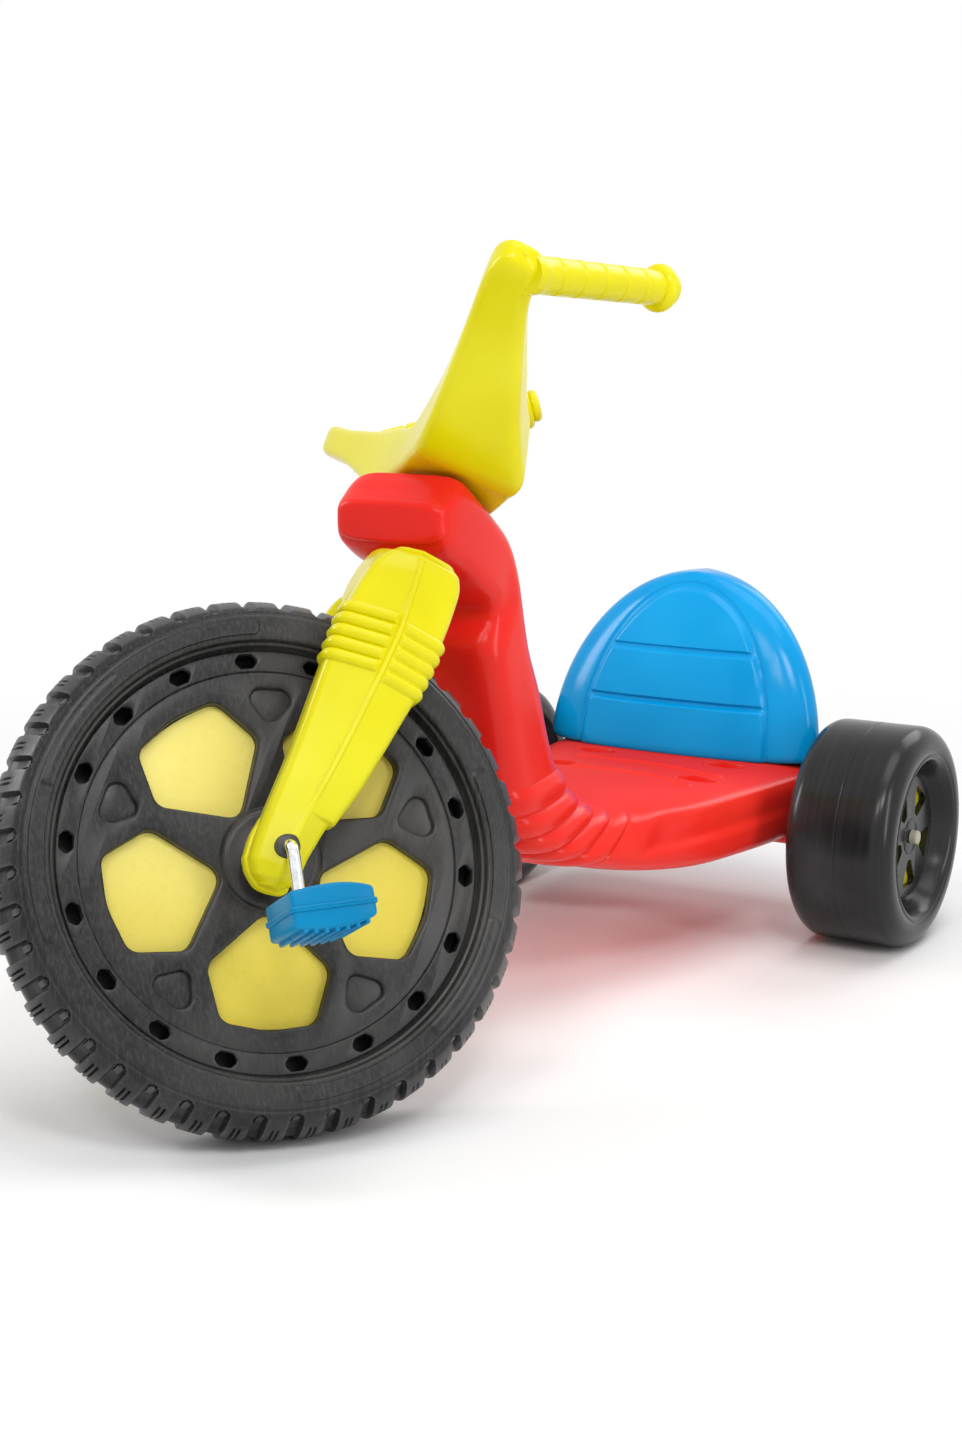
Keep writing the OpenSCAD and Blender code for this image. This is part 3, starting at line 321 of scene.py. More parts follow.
def along(tree, where, scale):
    node = add(tree, "ShaderNodeMapping", {"Scale": scale})
    tree.links.new(where, node.inputs["Vector"])
    return node.outputs["Vector"]


def dress(tree, shader, tone, wear, relief):
    for value, name in ((tone, "Base Color"), (wear, "Roughness"), (relief, "Normal")):
        tree.links.new(value, shader.inputs[name])


def blow_moulded(name, deep, colour, pale, rough, shine,
                 streaks=0, drawn=(420, 420, 14), tread=0, edge_glint=None):
    """Blow-moulded plastic: uneven colour, faint orange peel and paler edges. The paler edges are rubbed
    wear, and where an edge glint colour is given they are also painted highlights.

    It has drawn streaks where they are asked for, and fine scuffs elsewhere. Tread dulls what faces up.
    """
    material, tree, shader, where = new_finish(name)
    tone = ramp(tree, noise(tree, where, 6, 3), [(0.3, deep), (0.5, colour), (0.75, pale)])
    sharp = add(tree, "ShaderNodeNewGeometry").outputs["Pointiness"]
    # Paler edges: rubbed wear, and where an edge glint colour is given, a painted highlight along every edge
    edge = spread(tree, sharp, 0.52, 0.6, 0, 0.6) if edge_glint else spread(tree, sharp, 0.56, 0.66, 0, 0.4)
    wear_and_glint = times(tree, edge, spread(tree, noise(tree, where, 60, 5, 0.7), 0.35, 0.65, 0, 1))
    tone = mixed(tree, wear_and_glint, tone, edge_glint or pale)
    if streaks:
        line = noise(tree, along(tree, where, drawn), 1, 4, 0.6)
        tone = mixed(tree, spread(tree, line, 0.45, 0.7, 0, streaks), tone, pale)
        wear = spread(tree, line, 0.3, 0.75, rough - 0.1 * streaks, rough + 0.2 * streaks)
    else:
        scuff = noise(tree, where, 45, 4, 0.6)
        wear = spread(tree, scuff, 0.3, 0.75, rough - 0.02, rough + 0.05)
    if tread:
        up = add(tree, "ShaderNodeSeparateXYZ")
        tree.links.new(add(tree, "ShaderNodeNewGeometry").outputs["Normal"], up.inputs["Vector"])
        grained = add(tree, "ShaderNodeMath", operation="MAXIMUM")
        tree.links.new(wear, grained.inputs[0])
        tree.links.new(spread(tree, up.outputs["Z"], 0.75, 0.95, 0, tread), grained.inputs[1])
        wear = grained.outputs["Value"]
    dress(tree, shader, tone, wear, bumped(tree, noise(tree, where, 70, 2), 0.0003, 0.012))
    shader.inputs["IOR"].default_value = 1.48
    shader.inputs["Specular IOR Level"].default_value = shine
    return material


def golden(name, deep, pale):
    """Panel foil with painted light and shade: paler higher up and towards the front, deeper in colour lower
    down and towards the rear.
    """
    material, tree, shader, where = new_finish(name)
    split = add(tree, "ShaderNodeSeparateXYZ")
    tree.links.new(where, split.inputs["Vector"])
    # Painted light and shade over the wheel: the higher and the further forward a panel stands, the paler it
    # is painted
    rise = spread(tree, split.outputs["Z"], 0.06, 0.33, 0, 1)
    cloud = spread(tree, noise(tree, where, 9, 3), 0.3, 0.7, 0.75, 1)
    side = spread(tree, split.outputs["Y"], -0.36, -0.21, 1, 0.25)
    tone = ramp(tree, times(tree, times(tree, rise, cloud), side), [(0.05, deep), (0.8, pale)])
    wear = spread(tree, noise(tree, where, 150, 5, 0.7), 0.3, 0.75, 0.24, 0.36)
    dress(tree, shader, tone, wear, bumped(tree, noise(tree, where, 60, 3), 0.0003, 0.06))
    shader.inputs["Specular IOR Level"].default_value = 0.4
    return material


red = blow_moulded(
    "red_moulding", (0.74, 0.013, 0.009), (0.80, 0.019, 0.012), (0.85, 0.036, 0.022), 0.22, 0.22,
    tread=0.62)
yellow = blow_moulded(
    "yellow_moulding", (0.67, 0.595, 0.001), (0.73, 0.66, 0.002), (0.80, 0.75, 0.02), 0.22, 0.24)
blue = blow_moulded(
    "blue_moulding", (0.0004, 0.28, 0.66), (0.0006, 0.33, 0.75), (0.006, 0.39, 0.82), 0.14, 0.18)
dark_blue = blow_moulded(
    "pedal_moulding", (0.0004, 0.18, 0.38), (0.0006, 0.215, 0.45), (0.006, 0.26, 0.52), 0.3, 0.14)
# Black gets a pale grey on its edges: a painted highlight along ridges, rims and window edges
black = blow_moulded(
    "black_moulding", (0.008, 0.0076, 0.0076), (0.013, 0.0125, 0.0125), (0.06, 0.057, 0.055), 0.33, 0.28,
    streaks=0.5, edge_glint=(0.2, 0.195, 0.19))
glossy_black = blow_moulded(
    "glossy_black_moulding", (0.007, 0.007, 0.008), (0.013, 0.013, 0.014), (0.05, 0.05, 0.054), 0.22, 0.3,
    streaks=0.16, drawn=(380, 6, 6))
# The gold panels carry painted light and shade
gold = golden("golden_panel_painted_light", (0.66, 0.53, 0.03), (0.93, 0.82, 0.24))
cream = blow_moulded(
    "cream_moulding", (0.40, 0.37, 0.28), (0.48, 0.45, 0.36), (0.58, 0.56, 0.47), 0.35, 0.3)


def bright_metal(name, colour, rough):
    """Plated or bare rod: a bright face with small dull spots and a fine grain."""
    material, tree, shader, where = new_finish(name)
    spots = noise(tree, where, 90, 5, 0.7)
    dull = tuple(0.8 * c for c in colour)
    tone = ramp(tree, spots, [(0.35, dull), (0.6, colour)])
    wear = spread(tree, spots, 0.35, 0.7, rough, rough + 0.12)
    dress(tree, shader, tone, wear, bumped(tree, noise(tree, where, 700, 3), 0.0002, 0.05))
    shader.inputs["Metallic"].default_value = 1
    return material


chrome = bright_metal("chrome_rod", (0.86, 0.87, 0.88), 0.08)
steel = bright_metal("bare_steel", (0.60, 0.60, 0.61), 0.28)

for names, material in (
    (("frame_body",), red),
    (("fork", "handlebar", "hub_disc_left", "hub_disc_right"), yellow),
    (("seat",), blue),
    (("pedal_left", "pedal_right"), dark_blue),
    (("front_wheel", "rear_tyre_left", "rear_tyre_right", "hub_face_left", "hub_face_right",
      "crank_bush_left", "crank_bush_right", "spacer_left", "spacer_right"), black),
    (tuple(f"panel_{side}{k}" for side in "lr" for k in range(1, 6)), gold),
    (("head_bush_lower", "head_bush_upper",
      "pedal_washer_left", "pedal_washer_right", "axle_cap_left", "axle_cap_right"), cream),
    (("crank",), chrome),
    (("steering_stem", "stem_screw", "rear_axle",
      "seat_bolt_left", "seat_bolt_right"), steel),
):
    for name in names:
        nodes[name].data.materials.clear()
        nodes[name].data.materials.append(material)


# Frame

frame_unit, frame_half_wide, frame_points = 500, 140, 240
crease_from, crease_to = 4.4, 11.4
fold_from, fold_to, fold_run = 12, 16.6, 4.6
folds, fold_high = 5, 4.6

# Lower edge (back, up), upper edge (back, up), half width and squareness, from the head to the rear
frame_rows = np.array([
    [-1.014, 0.836, -1.014, 0.903, 0.345, 4.6], [-1.006, 0.822, -0.998, 0.913, 0.364, 4.8],
    [-0.98, 0.801, -0.954, 0.938, 0.375, 5], [-0.928, 0.774, -0.908, 0.912, 0.378, 5],
    [-0.886, 0.746, -0.852, 0.873, 0.378, 5], [-0.843, 0.72, -0.804, 0.834, 0.378, 4.5],
    [-0.832, 0.697, -0.772, 0.78, 0.38, 4.2], [-0.839, 0.676, -0.751, 0.72, 0.382, 4],
    [-0.848, 0.654, -0.737, 0.67, 0.386, 4], [-0.852, 0.624, -0.723, 0.626, 0.391, 4],
    [-0.852, 0.56, -0.695, 0.564, 0.402, 4], [-0.848, 0.48, -0.667, 0.486, 0.413, 3.8],
    [-0.838, 0.41, -0.64, 0.428, 0.428, 3.6], [-0.81, 0.35, -0.605, 0.382, 0.45, 3.5],
    [-0.768, 0.305, -0.568, 0.35, 0.475, 3.6], [-0.71, 0.271, -0.527, 0.33, 0.509, 3.8],
    [-0.644, 0.247, -0.486, 0.32, 0.557, 4], [-0.574, 0.226, -0.45, 0.316, 0.629, 4.3],
    [-0.5, 0.206, -0.416, 0.315, 0.707, 4.6], [-0.41, 0.188, -0.37, 0.314, 0.793, 4.6],
    [-0.31, 0.175, -0.3, 0.314, 0.871, 4.6], [-0.19, 0.169, -0.19, 0.314, 0.936, 4.6],
    [-0.06, 0.170, -0.06, 0.314, 0.99, 5.6], [0.06, 0.174, 0.06, 0.314, 1.015, 7],
    [0.132, 0.184, 0.132, 0.314, 1, 6.4], [0.16, 0.204, 0.16, 0.302, 0.92, 4],
])

# Distance of the crease from the rear of the neck
neck_crease = np.array([38, 33, 32, 46, 64, 75, 80, 82])

# Raised lines on the deck, seen from above
deck_lines = [
    np.array([(-71, -53), (17, -55), (70, -67), (123, -83)]),
    np.array([(-72, -96), (28, -99), (70, -115), (107, -136)]),
]


def away_from(line, x, y):
    """Distance of points from a bent line."""
    best = np.full(np.shape(x), 1e6)
    for a, b in zip(line[:-1], line[1:]):
        way = b - a
        t = np.clip(((x - a[0]) * way[0] + (y - a[1]) * way[1]) / (way @ way), 0, 1)
        best = np.minimum(best, np.hypot(x - a[0] - t * way[0], y - a[1] - t * way[1]))
    return best


def fold(t):
    """Share of the height of the round folds in the bend, with soft valleys."""
    wave = abs(math.sin(math.pi * folds * (t - fold_from) / fold_run))
    return 1.2 * wave * wave / (wave * wave + 0.2 * wave + 0.02) ** 0.75 / 1.03


def frame_ring(t):
    """Section of the frame at a place between its rows."""
    row = row_at(frame_rows, t)
    low, high = (np.array([0, back, up]) * frame_unit for back, up in (row[:2], row[2:4]))
    low[1] -= 15 * smoothstep(2.6, 8, t) * smoothstep(12, 8, t)
    tall = np.linalg.norm(high - low)
    half_wide = row[4] * frame_half_wide
    outline = soft_box(half_wide, tall / 2, row[5], frame_points)
    if fold_from < t < fold_to:
        outline = pushed_out(outline, np.full(frame_points, fold_high * fold(t) - 1.2))
    ring = (low + high) / 2 + outline[:, :1] * np.array([-1, 0, 0]) + outline[:, 1:] * (high - low) / tall
    if crease_from < t < crease_to:
        # The side of the neck steps in along the crease
        crease = row_at(neck_crease, t - crease_from)
        inside = smoothstep(crease - 16, crease + 16, tall / 2 - outline[:, 1])
        inside = inside * smoothstep(crease_from, 6.4, t) * smoothstep(crease_to, 8.8, t)
        on_side = smoothstep(0.6, 0.95, np.abs(ring[:, 0]) / half_wide)
        ring[:, 0] -= 4 * inside * on_side * np.sign(ring[:, 0])
    if t > fold_to:
        # The deck has raised lines on top and a hollow in each side
        x, y, z = ring.T
        top = outline[:, 1] > 0.97 * tall / 2
        for line in deck_lines:
            ring[:, 2] += np.where(top, 2.4 * smoothstep(4.4, 0.6, away_from(line, x, y)), 0)
        hollow = smoothstep(116, 126, z) * smoothstep(157, 140, z)
        hollow = hollow * smoothstep(17.2, 18.6, t) * smoothstep(22.6, 20.4, t)
        ring[:, 0] -= np.sign(x) * 5.5 * hollow * smoothstep(0.8, 0.95, np.abs(x) / half_wide)
    return ring


def frame_moulding():
    stops = []
    for i, way in enumerate(np.diff(frame_rows[:, :4], axis=0)):
        run = np.linalg.norm(way.reshape(2, 2).mean(axis=0)) * frame_unit
        # The bend and the deck get finer rings
        spacing = 1.6 if 11 < i < 22 else 3
        stops += list(np.linspace(i, i + 1, max(3, round(run / spacing)), endpoint=False))
    rings = [frame_ring(t) for t in stops + [len(frame_rows) - 1]]
    front = rounded_end(rings[0], np.array([0, -1, -0.3]), 4)
    back = rounded_end(rings[-1], np.array([0, 1, 0]), 10)
    body = skin("frame_moulding", front[::-1] + rings + back, at_frame)
    boss = lathe("axle_boss", [(5.3, -143), (20, -143), (22, -141), (22, 141), (20, 143), (5.3, 143)],
                 64, at_frame @ shift(0, 0, rear_axle_height) @ along_x)
    with_tool(body, boss, "UNION")
    # Four oval sockets in the deck, each a bowl with an eased rim
    oval = soft_box(22, 9.5, 1.9, 64)
    bowl_rows = ((0.72, 147.6), (0.88, 148.6), (0.96, 151), (1, 155.6), (1.05, 157), (1.1, 157.6), (1.1, 166))
    bowl = [np.column_stack([oval * size, np.full(len(oval), z)]) for size, z in bowl_rows]
    for x in (-70, 70):
        for y in (-24, -90.5):
            with_tool(body, skin("oval_tool", bowl, at_frame @ shift(x, y, 0)), "DIFFERENCE")
    return finished(body, "frame", "red_plastic", red, "frame_body")


frame_moulding()


# Seat

seat_half_wide, seat_deep, seat_tall, seat_foot = 144, 62, 173, 157.3
pad_half_wide, pad_tall = 98, 156


def dome(h):
    """Share of the width that is left at a share of the height."""
    return math.sqrt(max(0, 1 - h ** 1.96))


def seat_moulding():
    rings = []
    for s in np.linspace(0, 1, 190):
        h = min(1 - (1 - s) ** 1.7, 0.9992)
        foot = 0.95 + 0.05 * math.sqrt(1 - (1 - min(h / 0.05, 1)) ** 2)
        deep = seat_deep * (0.42 + 0.58 * dome(h)) * foot
        outline = soft_box(max(seat_half_wide * dome(h) * foot, 1), deep / 2, 2.5, 360)
        x, y = outline.T
        rise = h * seat_tall
        # The padded panel stands out inside its arch, and two grooves cross it
        arch = np.sqrt((np.abs(x) / pad_half_wide) ** 2 + (rise / pad_tall) ** 2)
        pad = smoothstep(1.02, 0.985, arch)
        for share in (0.3, 0.62):
            groove = share * pad_tall + 2.5
            pad = pad * smoothstep(1, 4, abs(rise - groove))
        front = smoothstep(0, -4, y)
        pad = pad * (0.75 + 0.25 * np.clip(1 - arch ** 2, 0, 1)) * front
        edge_groove = 1.3 * smoothstep(0.03, 0.008, np.abs(arch - 1.03)) * front
        y = y - 3.6 * pad + edge_groove
        centre = 42 * h ** 1.2 + seat_deep * 0.89 / 2
        rings.append(np.stack([x, centre + y, np.full_like(x, seat_foot + rise)], axis=1))
    piece = skin("seat_moulding", rings, at_frame)
    return finished(piece, "frame", "blue_plastic", blue, "seat")


seat_moulding()


# Handlebar

bar_reach, bar_deep, bar_tall, bar_foot = 222, 87, 116, 340.2
grip_long, grip_parts = 165, 5

# Reach, front, rear, foot, top and squareness of an arm, from the middle outwards
bar_half = np.array([
    [0, 0.32, -0.7, 0, 0.4, 6], [0.135, 0.335, -0.7, 0, 0.46, 6], [0.216, 0.352, -0.71, -0.012, 0.52, 6.5],
    [0.28, 0.368, -0.69, 0.01, 0.55, 6], [0.365, 0.394, -0.54, 0.092, 0.59, 5.4],
    [0.473, 0.436, -0.34, 0.23, 0.645, 4.8], [0.6, 0.492, -0.16, 0.38, 0.72, 4.2],
    [0.72, 0.55, 0, 0.51, 0.79, 4], [0.838, 0.61, 0.135, 0.612, 0.875, 3.6],
    [0.914, 0.631, 0.194, 0.672, 0.935, 3.2], [0.964, 0.601, 0.233, 0.716, 0.93, 2.8],
    [0.991, 0.545, 0.286, 0.757, 0.903, 2.4], [1, 0.436, 0.396, 0.819, 0.841, 2.2],
])


def bar_ring(row):
    """Section of the handlebar for one row."""
    reach, front, rear, foot, top, square = row
    outline = soft_box((front - rear) / 2 * bar_deep, (top - foot) / 2 * bar_tall, square * 1.35, 140)
    # The rear edge of an arm leans forward towards the top
    u, w = outline.T / np.abs(outline).max(axis=0)[:, None]
    x = abs(reach * bar_reach)
    lean = 13 * smoothstep(25, 60, x) * (1 - 0.6 * smoothstep(70, 115, x)) * smoothstep(215, 170, x)
    outline[:, 0] -= lean * smoothstep(0, 1, u) * (0.5 + 0.5 * w)
    middle = np.array([
        reach * bar_reach, -(front + rear) / 2 * bar_deep, bar_foot + (foot + top) / 2 * bar_tall])
    return middle + outline[:, :1] * np.array([0, 1, 0]) + outline[:, 1:] * np.array([0, 0, 1])


def bar_moulding():
    other = bar_half[:0:-1].copy()
    other[:, 0] *= -1
    table = np.concatenate([other, bar_half])
    last = len(table) - 1
    rings = [bar_ring(row_at(table, t)) for t in np.linspace(0, last, 8 * last + 1)]
    one_end = rounded_end(rings[0], np.array([-1, 0, 0]), 0.8)
    other_end = rounded_end(rings[-1], np.array([1, 0, 0]), 0.8)
    piece = skin("handlebar_moulding", one_end[::-1] + rings + other_end, at_bar)
    well = lathe("screw_well", [(0.2, 340), (6, 340), (6, 400), (0.2, 400)], 32, at_bar)
    with_tool(piece, well, "DIFFERENCE")
    return finished(piece, "steering", "yellow_plastic", yellow, "handlebar")


def grip(side, hand):
    z = np.linspace(-9, grip_long, 349)
    start, end = 0.12 * grip_long, 0.885 * grip_long
    step = (end - start) / grip_parts
    r = 14.2 * (1 - 0.03 * np.clip((z - start) / step, 0, grip_parts) / grip_parts)
    # Grooves part the grip, and its root widens into the arm
    away = np.abs((z - start + step / 2) % step - step / 2)
    grooved = (z > start - step / 2) & (z < end + step / 2)
    r = r - np.where(grooved, 1.8 * smoothstep(2.6, 0, away), 0)
    r = r + 1.2 * smoothstep(8, -3, z)
    # A bulb, a collar and a round end follow
    bulb = np.clip(1 - ((z - end - 5) / 6.2) ** 2, 0, None) ** 0.5
    r = np.where(z > end - 2, np.maximum(r, 13.2 + 5.6 * bulb), r)
    r = np.where(z > end + 11, 14.4 - 1.3 * smoothstep(end + 13, end + 11, z), r)
    tip = 8.8 + np.sqrt(np.clip(31 - 1.24 * (z - 160) ** 2, 0, None))
    r = np.where(z > 160, np.minimum(r, tip), r)
    rings = [np.column_stack([circle(radius, 64), np.full(64, h)]) for radius, h in zip(r, z)]
    place = at_bar @ side @ shift(205, -21.5, 434.5) @ turn(30, "Z") @ turn(-60, "X")
    return finished(skin(hand, rings, place), "steering", "yellow_plastic", yellow, "handlebar")


bar_moulding()
grip(as_drawn, "left_grip")
grip(flip, "right_grip")


# Fork

leg_deep, leg_wide, leg_inner = 88, 38, 50
leg_foot, leg_top, leg_tall = -28, 254, 282
rib_pitch = 10.4

# Height, front, rear, ridge and width of a leg, from the foot up
leg_rows = np.array([
    [0, 0.38, 0.15, 0.28, 0.74], [0.015, 0.46, 0.08, 0.27, 0.84], [0.05, 0.53, 0.03, 0.26, 0.89],
    [0.1, 0.54, 0.02, 0.25, 0.9], [0.195, 0.53, -0.045, 0.227, 0.92], [0.32, 0.505, -0.17, 0.16, 0.95],
    [0.447, 0.495, -0.26, 0.1, 0.97], [0.613, 0.49, -0.37, 0.034, 1], [0.745, 0.475, -0.425, -0.01, 0.98],
    [0.845, 0.43, -0.445, -0.01, 0.94], [0.94, 0.36, -0.45, -0.01, 0.86], [0.98, 0.28, -0.42, -0.01, 0.76],
    [1, 0.2, -0.36, -0.01, 0.6],
])


def rib(z):
    """Height of five fat round ribs with narrow grooves between them."""
    if not -5.2 < z < 46.8:
        return 0
    return 3.8 * abs(math.cos(math.pi * z / rib_pitch)) ** 0.6


def leg_lines(fine):
    """Front, rear, ridge and width of a leg at these heights, softened between its ends."""
    weights = np.hanning(25) / np.hanning(25).sum()
    between = smoothstep(18, 40, fine - leg_foot) * smoothstep(leg_top, 240, fine)
    lines = []
    for k in range(1, 5):
        column = np.interp((fine - leg_foot) / leg_tall, leg_rows[:, 0], leg_rows[:, k])
        softer = np.convolve(np.pad(column, 12, mode="edge"), weights, "valid")
        lines.append(column + (softer - column) * between)
    return lines


def leg_ring(z, front, rear, ridge, wide):
    """Section of a leg, with the seam along its ridge and the ribs before and behind it."""
    cut = 4 * smoothstep(31, 28, z)
    front, rear, ridge, wide = -front * leg_deep, -rear * leg_deep - cut, -ridge * leg_deep, leg_wide * wide
    outline = round_corners(
        [(leg_inner, front), (leg_inner + wide * 0.62, front), (leg_inner + wide, ridge),
         (leg_inner + wide * 0.66 - cut * 0.6, rear), (leg_inner, rear)],
        [4.5, 10, 4, 10, 4.5], 9, 24)
    x, y = outline.T
    across = y - ridge
    outer = smoothstep(52, 56, x)
    seam = 1.9 * smoothstep(2.5, 0.7, np.abs(across))
    seam = seam * smoothstep(26, 60, z) * smoothstep(253, 249, z) * (x > 60)
    fore = rib(z - 151.2) * smoothstep(-2, -5.5, across) * outer
    aft = rib(z - 146) * smoothstep(1.5, 4.5, across) * outer
    outline = pushed_out(outline, seam + fore + aft)
    return np.column_stack([outline, np.full(len(outline), z)])


def leg(side, name):
    runs = [(-28, -18, 12), (-18, 24, 18), (24, 32, 10), (32, 138, 32), (138, 206, 85), (206, 240, 14)]
    heights = [np.linspace(low, high, count, endpoint=False) for low, high, count in runs]
    heights = np.concatenate(heights + [np.linspace(240, leg_top, 16)])
    fine = np.linspace(leg_foot, leg_top, leg_tall + 1)
    lines = leg_lines(fine)
    rings = [leg_ring(z, *(np.interp(z, fine, line) for line in lines)) for z in heights]
    foot = rounded_end(rings[0], np.array([0, 0, -1]), 1.5)
    top = rounded_end(rings[-1], np.array([0, 0, 1]), 3)
    body = skin(name, foot[::-1] + rings + top, at_fork @ side)
    # The sole under the axle is drawn from the side
    toe = [(-np.interp(z, fine, lines[0]) * leg_deep - 2.4 * smoothstep(22, 4, z), z)
           for z in np.linspace(20, -22, 15)]
    toe += [(-36, -29), (-29, -31), (-20, -30.4), (-12, -28), (-10, -20), (-10, 20)]
    toe = np.array([row_at(np.array(toe), t) for t in np.linspace(0, len(toe) - 1, 4 * len(toe) - 3)])
    from_the_side = Matrix(((0, 0, 1, 0), (1, 0, 0, 0), (0, 1, 0, 0), (0, 0, 0, 1)))
    sole = plate("sole", [toe], 50.2, 60, 2.2, at_fork @ side @ from_the_side)
    with_tool(body, sole, "UNION")
    return body


def fork_moulding():
    body = leg(as_drawn, "fork_moulding")
    with_tool(body, leg(flip, "other_leg"), "UNION")
    # Reach, half depth and rise of the crown
    crown_rows = np.array([
        [-1.28, 0.5, 0], [-0.9, 0.58, 0.16], [-0.45, 0.6, 0.32], [0, 0.6, 0.38],
        [0.45, 0.6, 0.32], [0.9, 0.58, 0.16], [1.28, 0.5, 0]])
    rings = []
    for t in np.linspace(0, len(crown_rows) - 1, 49):
        reach, deep, rise = row_at(crown_rows, t)
        y, z = soft_box(deep * 44, 21, 5, 72).T
        rings.append(np.stack([np.full_like(y, reach * leg_inner), y - 2, z + 231 + rise * 42], axis=1))
    with_tool(body, skin("crown", rings, at_fork), "UNION")
    boss = lathe("boss", [(11.1, 240), (17.5, 240), (17.5, 271), (16.8, 271.8), (11.1, 271.8)], 64, at_fork)
    with_tool(body, boss, "UNION")
    bore = lathe("bore", [(0.3, -100), (9.3, -100), (9.3, 100), (0.3, 100)], 48, at_axle @ along_x)
    with_tool(body, bore, "DIFFERENCE")
    return finished(body, "steering", "yellow_plastic", yellow, "fork")


fork_moulding()


# Front wheel

knobs, knob_run = 44, 28.56
band_radius = 173.6
wheel_bore = 4.83

# Radius and distance from the middle plane
tyre_side = np.array([
    [157.4, 4], [157.8, 28.6], [158.8, 29.8], [159.5, 30.6], [160, 33], [160.5, 36.4], [161, 37.6],
    [162, 38], [162.8, 38.2], [163.3, 39.4], [163.9, 41.4], [164.7, 42.5], [165.8, 43], [166.8, 43],
    [167.6, 43], [168.3, 43], [169.2, 43], [170.4, 43], [173.6, 43], [176.8, 43], [178, 43],
    [178.9, 43], [179.6, 43], [180.4, 43], [182, 43], [183.2, 42.4], [184, 41.4], [185, 40.8]])
tyre_crown = np.array([
    [203.2, 0], [202.6, 8.6], [200.4, 17.2], [197, 25.6], [193, 33], [189.8, 38], [186.4, 40.9]])


def side_bands(a, r, z):
    """Two long raised bands on each side of the tyre, each with a raised bed in its middle."""
    rise = 0
    for middle in (257.5, 79):
        away = (math.degrees(a) - middle + 180) % 360 - 180
        run = abs(math.radians(away)) * band_radius
        for reach, half, tall in ((165, 5.7, 1.3), (50, 4.3, 0.8)):
            edge = np.hypot(max(run - reach + half, 0), r - band_radius) - half
            rise = rise + tall * smoothstep(0.5, -0.5, edge)
    return np.where((np.abs(z) > 30) & (r < 184), rise * np.sign(z), 0)


def tyre_moulding():
    """Side wall and crown are drawn once, and the knobs are cut in ring by ring."""
    line = np.array([row_at(tyre_crown, t) for t in np.linspace(0, len(tyre_crown) - 1, 241)])
    run = np.concatenate([[0], np.cumsum(np.linalg.norm(np.diff(line, axis=0), axis=1))])
    out = np.gradient(line, axis=0) @ np.array([[0, -1], [1, 0]])
    out = out / np.linalg.norm(out, axis=1)[:, None]
    # Distances from the middle of the tread, along the crown
    stops = np.array([
        run[-1], 44.4, 43.6, 42.8, 41.8, 40.6, 39, 37, 34.5, 31.5, 28.5, 26, 24, 20, 15, 10, 5, 0])
    crown, normal = (
        np.stack([np.interp(stops, run, v[:, k]) for k in (0, 1)], axis=1) for v in (line, out))
    mirror = np.array([1, -1])
    whole = np.concatenate([tyre_side, crown, crown[-2::-1] * mirror, tyre_side[::-1] * mirror])
    none = np.zeros_like(tyre_side)
    normal = np.concatenate([none, normal, normal[-2::-1] * mirror, none])
    side = np.full(len(tyre_side), 100)
    away = np.concatenate([side, stops, stops[-2::-1], side])
    pitch = 2 * math.pi / knobs
    steps = np.array([0, 2.6, 3.4, 4.5, 5.1, 5.8, 8.4, 11.2, 12.28, 13.3, 14.28]) / knob_run
    steps = np.concatenate([steps, 1 - steps[-2:0:-1]])
    rings = []
    for a in np.concatenate([(k + steps) * pitch for k in range(knobs)]):
        # A pocket between two knobs, a lump on its floor and a nick across the tread
        s = abs((a / pitch + 0.5) % 1 - 0.5) * knob_run
        pocket = smoothstep(0.45, -0.45, np.hypot(s, np.clip(away - 38.4, 0, None)) - 5.2)
        lump = smoothstep(0.5, -0.5, np.hypot(s, np.clip(away - 38, 0, None)) - 3.1)
        lump = lump * smoothstep(26, 30, away)
        nick = np.clip(1 - abs(s - 12.28) / 0.95, 0, 1) * smoothstep(27, 24, away)
        deep = 3 + 3.4 * smoothstep(6, 14, away) * smoothstep(38, 30, away)
        deep = deep + 1.6 * smoothstep(30, 38, away)
        deep = pocket * (deep - 1.9 * lump) + 2 * nick
        r, z = (whole - normal * deep[:, None]).T
        rings.append(np.stack([r * math.cos(a), r * math.sin(a), z + side_bands(a, r, z)], axis=1))
    rings.append(rings[0])
    piece = skin("front_tyre", rings, at_wheel)
    return finished(piece, "front_wheel", "black_plastic", black, "front_wheel")


window = round_corners(
    [(36.5, 0), (79, -47), (120, -36), (126, 0), (120, 36), (79, 47)], [12, 12, 12, 60, 12, 12], 10, 6)


def notch(grow):
    """Outline of a small recess with its edge moved out by grow."""
    return round_corners(
        [(101 - 1.6 * grow, 0), (130 + grow, -24 - 1.4 * grow), (130 + grow, 24 + 1.4 * grow)],
        [7 + grow, 8 + grow, 8 + grow], 10, 6)


